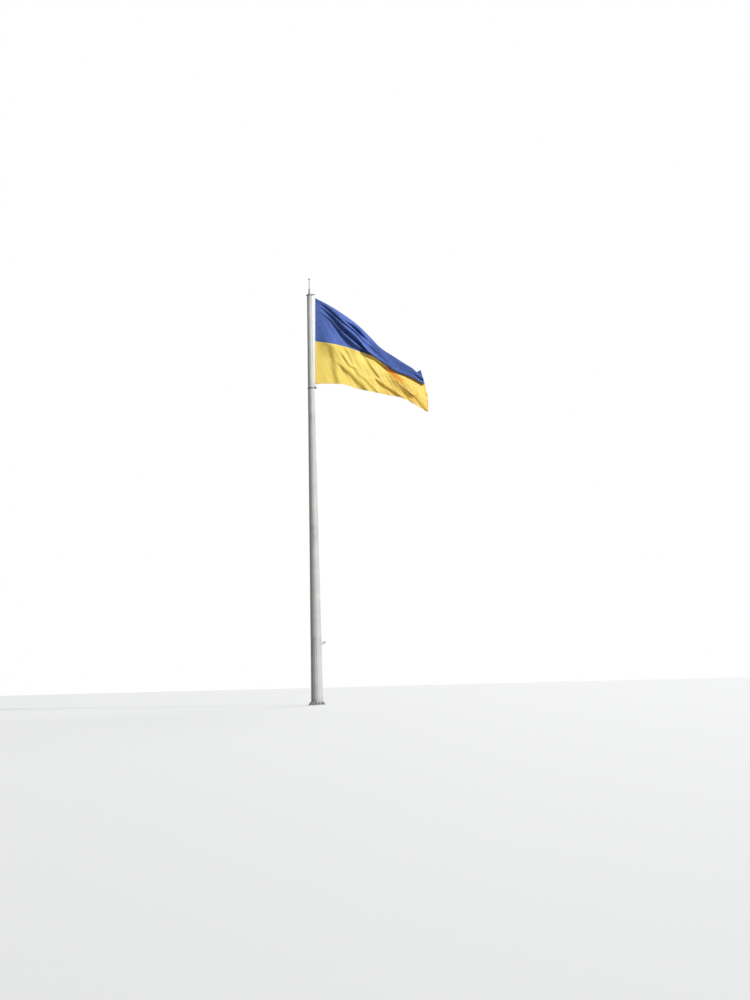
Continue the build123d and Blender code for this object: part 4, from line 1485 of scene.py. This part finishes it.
@dataclass(frozen=True)
class Hoist:
    """Steel rope over the sheave, with a clamp and an oval ring at each eyelet of the flag."""

    foot: tuple[float, float] = (0.341, 28.52)
    sheave: tuple[float, float] = (0.441, 36.9623)
    pitch_r: float = 0.0383
    rope_r: float = 0.005
    end_x: float = 0.13
    edge_head: tuple[float, float] = (0.52, 36.62)
    edge_foot: tuple[float, float] = (0.3622, 28.6216)
    count: int = 9
    inset: float = 0.07
    eye_in: float = 0.045
    lay: float = 0.075

    def lean(self) -> float:
        """Angle of the straight run off the vertical."""
        x, z = self.sheave
        return math.atan2(x + self.pitch_r - self.foot[0], z - self.foot[1])

    def along(self, x: float, z: float) -> Array:
        """Frame at a point of the straight run, Z up the rope."""
        return frame_at((x, 0.0, z), (math.sin(self.lean()), 0, math.cos(self.lean())))

    def path(self, step: float) -> Array:
        """Rope's middle line: straight up, round the sheave, and level into the housing.

        Args:
            step: Metres from point to point on the straight runs.

        Returns:
            Points from the collar to the housing.
        """
        x, z = self.sheave
        a = np.linspace(-self.lean(), TAU / 4.0, 24)
        arc = np.stack([x + self.pitch_r * np.cos(a), 0 * a, z + self.pitch_r * np.sin(a)], -1)
        foot = np.array([self.foot[0], 0.0, self.foot[1]])
        rise = np.linspace(foot, arc[0], int(np.linalg.norm(arc[0] - foot) / step))
        end = np.array([self.end_x, 0.0, arc[-1][2]])
        back = np.linspace(arc[-1], end, int((arc[-1][0] - self.end_x) / step))
        return np.vstack([rise[:-1], arc, back[1:]])

    def rope(self) -> None:
        """Six strands: a round outline with six lobes, twisted along the run."""
        angle = round_angles(24)
        section = circle(self.rope_r, 24) * (0.93 + 0.07 * np.cos(6.0 * angle))[:, None]
        rope = carried(section, self.path(0.006), Y_WAY, twist=TAU / self.lay)
        piece("halyard_rope", rope, TURNING, ROPE, 80.0, stands_for=("halyard",))
        sleeve = turned([(0.0052, 0.0), (0.0078, 0.001), (0.0086, 0.006), (0.0086, 0.048), (0.0074, 0.054),
                         (0.0052, 0.056)], 24, Ends.LOOPED)
        piece("halyard_swage", sleeve.placed(self.along(*self.foot)), TURNING, STEEL)

    def stations(self) -> Array:
        """Places of the eyelets down the hoist.

        Returns:
            Rows of (height, rope x, cloth edge x).
        """
        z = np.linspace(self.edge_head[1] - self.inset, self.edge_foot[1] + self.inset, self.count)
        t = (self.edge_head[1] - z) / (self.edge_head[1] - self.edge_foot[1])
        edge = self.edge_head[0] + t * (self.edge_foot[0] - self.edge_head[0])
        cord = self.foot[0] + math.tan(self.lean()) * (z - self.foot[1])
        return np.stack([z, cord, edge], -1)

    def hooks(self) -> None:
        """Clamps on the rope and oval rings that pass round it and through the eyelets."""
        clamp = turned([(0.0054, -0.016), (0.009, -0.015), (0.0105, -0.012), (0.0105, -0.005),
                        (0.009, -0.003), (0.0054, -0.0025)], 20, Ends.LOOPED)
        rings, clamps = [], []
        for z, cord, edge in self.stations():
            x0, x1, half = cord - 0.004, edge + self.eye_in, 0.0105
            angle = np.linspace(-TAU / 4.0, TAU / 4.0, 12)
            far = np.stack([x1 + half * np.cos(angle) - half, half * np.sin(angle)], -1)
            near = np.stack([x0 - half * np.cos(angle), -half * np.sin(angle)], -1)
            loop = np.vstack([far, near])
            path = np.column_stack([loop, z + 0.002 * np.sin(np.arange(len(loop)) * TAU / len(loop))])
            rings.append(carried(circle(0.0028, 10), path, Z_WAY, Ends.LOOPED))
            clamps.append(clamp.placed(self.along(cord, z)))
        piece("hoist_rings_and_clamps", rings + clamps, TURNING, STEEL, stands_for=("snap_hooks",))

    def build(self) -> None:
        """Makes the rope and the rings."""
        self.rope()
        self.hooks()


# Flag

def table_at(values: tuple[float, ...] | Array, t: Array) -> Array:
    """Smooth reading of an evenly spaced table, by a curve through its points with central slopes.

    Args:
        values: Numbers or points.
        t: Places from 0 at the first to 1 at the last.

    Returns:
        What stands at each place.
    """
    p = np.asarray(values, float)
    p = np.concatenate([2 * p[:1] - p[1:2], p, 2 * p[-1:] - p[-2:-1]])
    s = np.clip(t, 0.0, 1.0) * (len(p) - 3)
    i = np.clip(s.astype(int), 0, len(p) - 4)
    f = (s - i).reshape(s.shape + (1,) * (p.ndim - 1))
    a, b, c, d = p[i], p[i + 1], p[i + 2], p[i + 3]
    curve = (2 * a - 5 * b + 4 * c - d) * f ** 2 + (3 * b - a - 3 * c + d) * f ** 3
    return 0.5 * (2 * b + (c - a) * f + curve)


def eased(low: float, high: float, value: Array) -> Array:
    """Step that eases from 0 to 1."""
    t = np.clip((value - low) / (high - low), 0.0, 1.0)
    return t * t * (3.0 - 2.0 * t)


@dataclass
class Flag:
    """Two-stripe flag streaming from its hoist: a cloth grid laid in folds, then relaxed to its cut lengths.

    HEAD, SEAM and FOOT are the three long lines as the viewer sees them, in the plane of the pole. The other
    tables go in even steps from hoist to fly. turn is the length down the cloth in which a level lobe eases,
    belly how far the fly edge bulges, heading the width of the band at the hoist, hem_from where the fly hem
    begins, and steepest the limits of a fold angle. level_from is the share of the fly over which lobes turn
    level, and seam_ease the metres down the cloth over which the blue band's values pass to the yellow one's.

    SLOPE: drop of the head edge in degrees.
    GATHER: mean cosine of the fold angles of the blue and of the yellow band.
    LEAN: lean of each band's upright lines in degrees.
    LOBES: metres down the cloth where each lobe ends.
    ANGLES: how strongly each lobe folds; FAR and NEAR are two of its rows.
    SWING: how far the cloth stands toward the far side.
    TILT: how far the blue band's head stands behind its seam.
    FORWARD: how far the foot comes toward the viewer.
    CREASES: path across and down the yellow band as shares, width and depth of each crease.
    """

    fly: float = 12.0
    drop: float = 8.0
    thickness: float = 0.004
    corner: tuple[float, float] = (0.52, 36.62)
    tack: tuple[float, float] = (0.3622, 28.6216)
    eye: tuple[float, float, float] = (5.5, -122.8, 1.6)
    grid: tuple[int, int] = (193, 129)
    rounds: int = 90
    hold: float = 0.1
    turn: float = 0.2
    belly: float = 0.13
    heading: float = 0.09
    hem_from: float = 11.89
    steepest: tuple[float, float] = (-1.45, 3.14)
    level_from: tuple[float, float] = (0.4, 0.52)
    seam_ease: tuple[float, float] = (3.7, 4.3)

    HEAD = ((.52, 36.62), (1.84, 35.87), (3.06, 35.03), (4.26, 34.08), (5.31, 33.0), (6.31, 31.87),
            (7.52, 31.0), (8.76, 30.15), (10.01, 29.38))
    SEAM = ((.43, 32.6), (1.77, 32.38), (3.1, 32.05), (4.36, 31.58), (5.6, 31.1), (6.7, 30.28),
            (7.85, 29.55), (9.1, 29.1), (10.24, 28.35))
    FOOT = ((.35, 28.63), (1.68, 28.65), (3.01, 28.53), (4.27, 28.1), (5.58, 27.8), (6.87, 27.48),
            (8.16, 27.19), (9.3, 26.55), (10.45, 25.82))
    SLOPE = (28, 32, 36.5, 42, 48.5, 43, 34, 33, 31.5)
    GATHER = ((1, .87, .745, .625, .48, .41, .37, .29, .27), (1, .94, .89, .87, .825, .7, .62, .62, .635))
    LEAN = ((-1.13, -1.1, .8, 2.3, 8.7, 13.8, 12.8, 15, 12.6),
            (-1.13, -1.4, -1.5, -1.5, -.3, 3.5, 6.5, 5.5, 4.7))
    LOBES = ((.12, .3, .62, .45, .45, .4, .35, .3, .3), (.16, .36, .7, 1., .7, .6, .55, .5, .5),
             (.25, .4, .85, 1.4, .95, .85, .8, .7, .65), (.35, .62, 1.15, 1.65, 1.25, 1.1, 1., .9, .85),
             (.5, .95, 1.45, 2.1, 1.78, 1.55, 1.4, 1.1, 1.02),
             (.6, 1.25, 2.2, 2.9, 2.5, 2.34, 2.23, 2.01, 1.95),
             (1., 1.65, 2.65, 3.3, 2.82, 2.73, 2.66, 2.52, 2.48),
             (1.1, 1.8, 3.1, 3.8, 3.54, 3.52, 3.49, 3.43, 3.41))
    FAR, NEAR = (-.5, -.5, -.56, -.9, -.4, -.1, -.1, -.1, 0.), (.9, .9, .96, .9, 3., 3.14, 3.14, 3.14, 3.14)
    ANGLES = (FAR, (.8, .9, .96, .9, .7, .15, .1, .1, 0.), FAR, (1.2, 1.2, 1.1, 1., .8, .15, .1, .1, 0.),
              (-.5, -.5, -.56, -.9, -.3, -.1, -.1, -.1, 0.), NEAR,
              (-.5, -.5, -.56, -.9, -.4, 0., 0., 0., 0.), NEAR, (-.2, -.25, -.5, -.9, -.4, 0., 0., 0., 0.))
    SWING = (0., 0., 0., .1, .2, .28, .32, .32, .28)
    TILT = (0., .05, .35, .5, .3, 0., 0., 0., 0.)
    FORWARD = (0., 0., 0., 0., .1, .3, .65, 1., 1.25)
    CREASES = (
        (((.125, .05), (.15, .45), (.185, 1.)), .22, .07), (((.25, .05), (.28, .15), (.3, .28)), .12, .03),
        (((.24, .28), (.29, .47), (.34, .5)), .09, .06), (((.28, .66), (.34, .78), (.42, .95)), .28, .12),
        (((.41, .05), (.46, .25), (.53, .45)), .16, .07), (((.58, .7), (.66, .8), (.75, 1.)), .18, .11),
        (((.66, .2), (.73, .55), (.84, .95)), .6, .13), (((.9, .62), (.95, .47), (1.05, .3)), .28, .11),
        (((.5, .62), (.58, .55), (.66, .42)), .14, -.05), (((.36, .6), (.43, .72), (.5, .9)), .13, .04),
        (((.82, .1), (.88, .3), (.97, .5)), .35, -.09), (((.88, .75), (.93, .85), (1., 1.05)), .3, .09))

    def lift(self, flat: Array, y: Array) -> Array:
        """Point at a depth that the viewer sees where the flat point (x, z) is."""
        k = (y - self.eye[1]) / -self.eye[1]
        return np.stack([self.eye[0] + (flat[..., 0] - self.eye[0]) * k, y,
                         self.eye[2] + (flat[..., 1] - self.eye[2]) * k], -1)

    def ripples(self, u: Array, v: Array) -> Array:
        """Depth of the small creases: a fan from the head corner, slanting waves below, pleats at the fly.

        Args:
            u: Share of the fly.
            v: Metres down the cloth.

        Returns:
            Depth in metres.
        """
        across = self.fly * u
        fan = np.arctan2(v, across + 0.5)
        spread = np.minimum(np.hypot(across, v) / 3.0, 1.0)
        upper = 0.012 * np.sin(34.0 * fan + 2.0 * np.sin(1.1 * across)) * spread
        slant = 0.92 * across - 0.39 * v
        patchy = 0.5 + 0.5 * np.sin(1.7 * v + across)
        lower = 0.014 * np.sin(slant * 5.3 + 2.3 * np.sin(1.1 * v)) * patchy
        lower = lower + 0.004 * np.sin(slant * 11.0 - v + 1.7 * np.sin(0.8 * across))
        share = eased(3.6, 4.4, v)
        fly = 0.15 * np.sin(TAU * v / 0.62) * eased(0.9, 1.0, u) * (1.0 - eased(1.2, 2.6, v))
        return (upper * (1.0 - share) + lower * share) * eased(0.02, 0.15, u) + fly

    def crease(self, across: Array, down: Array, path: tuple, width: float, depth: float) -> Array:
        """Depth of one crease: a quick step over its path, eased back over three and a half widths.

        Args:
            across: Metres along the fly.
            down: Metres below the seam.
            path: Points as shares of the fly and of the band's drop.
            width: Width of the step.
            depth: Height of the step.

        Returns:
            Depth in metres.
        """
        points = np.array(path) * (self.fly, self.drop / 2.0)
        here = np.stack(np.broadcast_arrays(across, down), -1)
        best, signed = np.full(here.shape[:2], np.inf), np.zeros(here.shape[:2])
        for a, b in zip(points[:-1], points[1:]):
            way = (b - a) / np.hypot(*(b - a))
            gap = here - (a + np.clip((here - a) @ way, 0.0, np.hypot(*(b - a)))[..., None] * way)
            far = np.hypot(gap[..., 0], gap[..., 1])
            side = np.sign(gap[..., 0] * way[1] - gap[..., 1] * way[0])
            signed = np.where(far < best, side * far, signed)
            best = np.minimum(far, best)
        return -depth * np.tanh(signed / width) * np.exp(-(signed / (3.5 * width)) ** 2)

    def lines(self, t: Array) -> list[Array]:
        """Head, seam and foot lines as seen; the head line ends in a dip and an upturned tip.

        Args:
            t: Share of the fly.

        Returns:
            (x, z) of each place on the three lines.
        """
        head, seam, foot = (table_at(np.array(points), t) for points in (self.HEAD, self.SEAM, self.FOOT))
        tip = eased(0.955, 1.0, t)
        head = head + np.stack([-0.1 * tip, 0.36 * tip - 0.16 * np.exp(-((t - 0.95) / 0.022) ** 2)], -1)
        return [head, seam, foot]

    def folded(self, u: Array, v: Array) -> Array:
        """Fold angles of the first lay.

        In a lobe the angle rises and falls as a sine; from about the middle of the fly on it holds between
        eased ends instead. The angles of each band are scaled by halving, until their mean cosine is the
        band's gather.

        Args:
            u: Share of the fly at each line.
            v: Metres down the cloth at each point.

        Returns:
            Angle from straight down, lines x points.
        """
        ends = np.stack([table_at(row, u) for row in self.LOBES])
        ends = np.vstack([np.full((1, len(u)), -0.3), ends, np.full((1, len(u)), 9.5)])
        k = np.clip((v[None, None] > ends[:, :, None]).sum(0) - 1, 0, len(self.ANGLES) - 1)
        low, high = (np.take_along_axis(ends.T, k + j, 1) for j in (0, 1))
        strength = np.take_along_axis(np.stack([table_at(row, u) for row in self.ANGLES]).T, k, 1)
        arch = np.sin(math.pi * np.clip((v - low) / (high - low), 0, 1))
        level = eased(0.0, self.turn, v - low) * (1.0 - eased(-self.turn, 0.0, v - high))
        held = eased(*self.level_from, u)[:, None]
        bend = strength * (arch ** 0.8 * (1 - held) + level * held)
        scales = []
        for want, band in zip(self.GATHER, (v < self.drop / 2.0, v >= self.drop / 2.0)):
            a, b = np.zeros(len(u)), np.full(len(u), 3.0)
            for _ in range(30):
                mid = 0.5 * (a + b)
                falls = np.cos(np.clip(mid[:, None] * bend[:, band], *self.steepest))
                loose = falls.mean(1) > table_at(want, u)
                a, b = np.where(loose, mid, a), np.where(loose, b, mid)
            scales.append(mid[:, None])
        mix = eased(*self.seam_ease, v)
        return np.clip((scales[0] * (1 - mix) + scales[1] * mix) * bend, *self.steepest)

    def laid(self) -> Array:
        """First lay of the cloth.

        The sine of the fold angle adds to the depth down each line, and its cosine to the fall. The yellow
        band lies between the seam and foot lines as seen, bulged at the fly; its depth runs from the seam's
        to the swing, with the creases added, and its foot comes forward.

        Returns:
            Points as lines x points x 3.
        """
        nu, nv = self.grid
        u = np.linspace(0.0, 1.0, nu)
        sub = 8
        n = (nv - 1) * sub
        v = (np.arange(n) + 0.5) * self.drop / n
        angle, mix = self.folded(u, v), eased(*self.seam_ease, v)
        blue, yellow = (table_at(row, u)[:, None] for row in self.LEAN)
        lean = np.radians(blue * (1 - mix) + yellow * mix)
        steps = np.stack([np.cos(angle) * np.sin(lean), np.sin(angle), -np.cos(angle) * np.cos(lean)], -1)
        steps = steps * (self.drop / n)
        run = np.concatenate([np.zeros((nu, 1, 3)), steps.cumsum(1)], 1)[:, ::sub]

        fine = np.linspace(0.0, 1.0, 400)
        slope = np.radians(table_at(self.SLOPE, fine))
        edge = np.stack([np.cos(slope), -np.sin(slope)], -1).cumsum(0) * self.fly / 399
        start = np.stack([np.interp(u, fine, edge[:, c] - edge[0, c]) + self.corner[c] for c in (0, 1)], -1)
        flat = np.stack([start[:, :1] + run[..., 0], start[:, 1:] + run[..., 2]], -1)

        half = (nv - 1) // 2
        middle = run[:, :half + 1, 1].mean(1, keepdims=True)
        upper = (run[:, half // 6, 1:2] - middle) * eased(*self.level_from, u)[:, None]
        swing, tilt, forward = (table_at(row, u)[:, None] for row in (self.SWING, self.TILT, self.FORWARD))
        y = (run[..., 1] - middle - upper) * eased(0.0, 0.12, u)[:, None]
        y = y + swing - tilt * (np.minimum(np.linspace(0.0, 2.0, nv), 1.0) - 0.5)

        f = np.linspace(0.0, 1.0, nv - half)
        seam, foot = (table_at(np.array(points), u)[:, None] for points in (self.SEAM, self.FOOT))
        flat[:, half:] = seam + (foot - seam) * f[:, None]
        flat[:, half:, 0] += self.belly * np.sin(math.pi * f) * eased(0.75, 1.0, u)[:, None]
        across, down = u[:, None] * self.fly, f * self.drop / 2.0
        wave = sum(self.crease(across, down, *given) for given in self.CREASES) * eased(0.0, 0.06, f)
        joined = y[:, half:half + 1]
        y[:, half:] = joined + (swing - joined) * eased(0.0, 0.4, f) + wave - forward * f
        return self.lift(flat, y + self.ripples(u[:, None], np.linspace(0.0, self.drop, nv)))

    def relaxed(self, cloth: Array) -> Array:
        """Draws the grid back to its cut lengths.

        Each round moves every pair of neighbours, and both diagonals at half weight, toward their cut
        distance, half as hard where they are too near. Every point moves toward the middle of its neighbours.
        Head, seam and foot lines are drawn toward where the viewer sees them, and the hoist edge is held.

        Args:
            cloth: Grid of points.

        Returns:
            The grid after all rounds.
        """
        nu, nv = cloth.shape[:2]
        du, dv = self.fly / (nu - 1), self.drop / (nv - 1)
        slant = math.hypot(du, dv)
        lines = list(zip((0, (nv - 1) // 2, nv - 1), self.lines(np.linspace(0.0, 1.0, nu))))
        share = np.linspace(0.0, 1.0, nv)
        hoist = np.stack([self.corner[0] + (self.tack[0] - self.corner[0]) * share, 0 * share,
                          self.corner[1] + (self.tack[1] - self.corner[1]) * share], -1)
        near, far, every = slice(0, -1), slice(1, None), slice(None)
        pairs = [((near, every), (far, every), du, 1.0), ((every, near), (every, far), dv, 1.0),
                 ((near, near), (far, far), slant, 0.5), ((far, near), (near, far), slant, 0.5)]
        two, one, end = slice(0, -2), slice(1, -1), slice(2, None)
        runs = [((two, every), (one, every), (end, every)), ((every, two), (every, one), (every, end))]
        count = np.zeros((nu, nv, 1))
        for a, b, _, weight in pairs:
            count[a] += weight
            count[b] += weight
        for a, m, b in runs:
            count[a] += 0.25
            count[m] += 0.5
            count[b] += 0.25
        for _ in range(self.rounds):
            move = np.zeros_like(cloth)
            for a, b, rest, weight in pairs:
                gap = cloth[b] - cloth[a]
                strain = 1.0 - rest / (np.linalg.norm(gap, axis=-1, keepdims=True) + 1e-9)
                pull = 0.5 * weight * np.where(strain > 0.0, strain, 0.5 * strain) * gap
                move[a] += pull
                move[b] -= pull
            for a, m, b in runs:
                pull = 0.5 * (cloth[a] + cloth[b]) - cloth[m]
                move[m] += 0.5 * pull
                move[a] -= 0.25 * pull
                move[b] -= 0.25 * pull
            cloth = cloth + move / count
            for row, seen in lines:
                aim = self.lift(seen, cloth[:, row, 1])
                cloth[:, row, ::2] += self.hold * (aim - cloth[:, row])[:, ::2]
            cloth[0] = hoist
        return cloth

    def panel(self, cloth: Array, u: tuple[float, float], v: tuple[float, float], cells: tuple[int, int],
              thickness: float) -> Shape:
        """Closed piece of cloth, half its thickness on each side of the grid.

        Points are read from the grid between its four neighbours, and the normal is the cross product of the
        grid's two central differences. The UV map is metres along the fly and down the drop.

        Args:
            cloth: Grid of points.
            u: Where it begins and ends along the fly, in metres.
            v: Where it begins and ends down the cloth, in metres.
            cells: Faces each way.
            thickness: In metres.

        Returns:
            The closed shape.
        """
        nu, nv = cloth.shape[:2]
        across = np.cross(np.gradient(cloth, axis=0), np.gradient(cloth, axis=1))
        across /= np.linalg.norm(across, axis=-1, keepdims=True)
        gu, gv = np.meshgrid(np.linspace(*u, cells[0] + 1), np.linspace(*v, cells[1] + 1), indexing="ij")
        iu, iv = gu / self.fly * (nu - 1), gv / self.drop * (nv - 1)
        i, j = np.clip(iu.astype(int), 0, nu - 2), np.clip(iv.astype(int), 0, nv - 2)
        a, b = (iu - i)[..., None], (iv - j)[..., None]

        def read(grid: Array) -> Array:
            """Value between the four grid points round each place."""
            upper = (1 - a) * (1 - b) * grid[i, j] + a * (1 - b) * grid[i + 1, j]
            return upper + (1 - a) * b * grid[i, j + 1] + a * b * grid[i + 1, j + 1]

        middle, normal = read(cloth), read(across)
        normal /= np.linalg.norm(normal, axis=-1, keepdims=True)
        sides = [middle + normal * thickness / 2.0, middle - normal * thickness / 2.0]
        rows, cols = gu.shape
        k = np.arange(rows * cols).reshape(rows, cols)
        top = np.stack([k[:-1, :-1], k[1:, :-1], k[1:, 1:], k[:-1, 1:]], -1).reshape(-1, 4)
        rim = np.concatenate([k[:, 0], k[-1, 1:], k[-2::-1, -1], k[0, -2:0:-1]])
        after = np.roll(rim, -1)
        n = rows * cols
        wall = np.stack([rim, rim + n, after + n, after], -1)
        quads = np.vstack([top, top[:, ::-1] + n, wall])
        flat = np.tile(np.stack([gu, gv], -1).reshape(-1, 2), (2, 1))
        verts = np.concatenate([side.reshape(-1, 3) for side in sides])
        return facing_out(Shape(verts, [quads], [flat[quads]]))

    def hems(self, cloth: Array, band: tuple, edge: tuple, seam: tuple, patch: tuple) -> list[Shape]:
        """Doubled cloth of one band: edge hem, seam, fly hem, heading and two corner patches.

        Args:
            cloth: Grid of points.
            band: Where the band begins and ends down the cloth, in metres.
            edge: The same of its outer hem.
            seam: The same of its share of the seam.
            patch: The same of its corner patches.

        Returns:
            One shape for each.
        """
        whole, end, heading = (0.0, self.fly), (self.hem_from, self.fly), (0.0, self.heading)
        rows = [(whole, edge, (192, 1), 2.2), (whole, seam, (192, 1), 1.8), (end, band, (2, 64), 2.2),
                (heading, band, (2, 64), 2.6), ((0.05, 0.4), patch, (4, 4), 1.7),
                ((11.7, self.hem_from), patch, (4, 4), 1.7)]
        return [self.panel(cloth, u, v, cells, layers * self.thickness) for u, v, cells, layers in rows]

    def build(self, hoist: Hoist) -> None:
        """Sews the flag: two bands, their hems and the eyelets.

        Args:
            hoist: Rope that carries it.
        """
        cloth = self.relaxed(self.laid())
        half = self.drop / 2.0
        upper, lower = (0.0, half), (half, self.drop)
        for name, band, finish, node in (("flag_blue_band", upper, BLUE, "flag_upper_band"),
                                         ("flag_yellow_band", lower, YELLOW, "flag_lower_band")):
            shape = self.panel(cloth, (0.0, self.fly), band, (192, 64), self.thickness)
            piece(name, shape, TURNING, finish, 180.0, (node,))
        above = self.hems(cloth, upper, (0.0, 0.04), (3.982, 4.004), (0.0, 0.3))
        below = self.hems(cloth, lower, (7.96, self.drop), (4.004, 4.018), (7.7, self.drop))
        trims = [piece("flag_blue_hems", above, TURNING, BLUE, 180.0),
                 piece("flag_yellow_hems", below, TURNING, YELLOW, 180.0)]
        eyelet = turned(circle(1.0, 10) * (0.0045, 0.0065) + (0.0145, 0.0), 28, Ends.LOOPED)
        spots = [frame_at((edge + 0.036, 0.0, z), (0, -1, 0)) for z, _, edge in hoist.stations()]
        trims.append(piece("flag_eyelets", eyelet.placed(spots), TURNING, BRASS))


# Stage

def looked_at(w: Wiring) -> Socket:
    """Tells a ray that shows a surface from one that only lights.

    Args:
        w: Tree that gets the nodes.

    Returns:
        1 for the camera's rays and those by way of gloss or a clear pane, else 0.
    """
    rays = w.node("LightPath").outputs
    through = w.calc("MAXIMUM", rays["Is Glossy Ray"], rays["Is Transmission Ray"])
    return w.calc("MAXIMUM", rays["Is Camera Ray"], through)


@dataclass(frozen=True)
class Stage:
    """Pale floor, soft light and the camera at the viewer's place."""

    pitch: float = math.atan(185.0 / 1389.0)
    roll: float = -0.025
    place: tuple[float, float, float] = (5.5, -122.8, 1.6)
    lens: float = 50.0
    sun: tuple[float, float, float] = (0.72, -0.5, 0.5)
    back: tuple[float, float, float] = (0.25, 0.85, 0.45)

    def camera(self) -> None:
        """Camera looking along +Y, raised by its pitch and rolled so that uprights lean left at their top."""
        ahead = np.array([0.0, math.cos(self.pitch), math.sin(self.pitch)])
        right = np.array([1.0, 0.0, 0.0])
        up = np.cross(right, ahead)
        c, s = math.cos(self.roll), math.sin(self.roll)
        turn = np.eye(4)
        turn[:3, 0], turn[:3, 1] = c * right + s * up, c * up - s * right
        turn[:3, 2], turn[:3, 3] = -ahead, self.place
        data = bpy.data.cameras.new("camera")
        data.lens, data.sensor_width, data.clip_end = self.lens, 36.0, 4000.0
        made = linked("camera", data)
        made.matrix_world = Matrix(turn.tolist())
        bpy.context.scene.camera = made

    def light(self) -> None:
        """A soft sun from behind the camera's right, a weak broad one from the far side, and an even sky."""
        suns = (("soft_sun", self.sun, 3.85, 10.0), ("back_sun", self.back, 1.7, 25.0))
        for name, toward, energy, spread in suns:
            data = bpy.data.lights.new(name, "SUN")
            data.energy, data.angle = energy, math.radians(spread)
            made = linked(name, data)
            made.matrix_world = Matrix(frame_at((0, 0, 60), toward, Z_WAY).tolist())
        world = bpy.data.worlds.new("pale_sky")
        w = cleared(world)
        fill = w.node("Background", {"Color": (0.89, 0.94, 1.0, 1.0), "Strength": 0.17})
        white = w.node("Background", {"Color": (1.0, 1.0, 1.0, 1.0), "Strength": 1.0})
        sky = w.node("MixShader", {0: looked_at(w), 1: fill.outputs[0], 2: white.outputs[0]})
        w.node("OutputWorld", {"Surface": sky.outputs[0]})
        bpy.context.scene.world = world

    def floor(self) -> None:
        """Wide round floor of one pale colour."""
        disc = turned([(1500.0, -0.5), (1500.0, -0.004), (600.0, -0.002), (60.0, -0.001), (0.5, -0.001)], 96)
        mesh = mesh_of("floor", disc)
        material = bpy.data.materials.new("pale_floor")
        w = cleared(material)
        pale = w.blend(looked_at(w), colour(0.52, 0.52, 0.51), colour(0.87, 0.87, 0.87))
        shader = w.node("BsdfPrincipled", {"Base Color": pale, "Roughness": 0.9})
        w.node("OutputMaterial", {"Surface": shader.outputs[0]})
        mesh.materials.append(material)
        linked("floor", mesh)

    def build(self) -> None:
        """Sets the stage."""
        self.camera()
        self.light()
        self.floor()
        bpy.context.scene.view_settings.view_transform = "Standard"


def main() -> None:
    """Builds the stage and the pole from the foot up."""
    logging.basicConfig(level=logging.INFO, format="%(name)s %(message)s")
    Stage().build()
    mast = Mast()
    hoist = Hoist()
    mast.build()
    Door(mast).build()
    Floodlight(mast).build()
    Head().build()
    Collar().build()
    hoist.build()
    Flag().build(hoist)


if __name__ == "__main__":
    main()
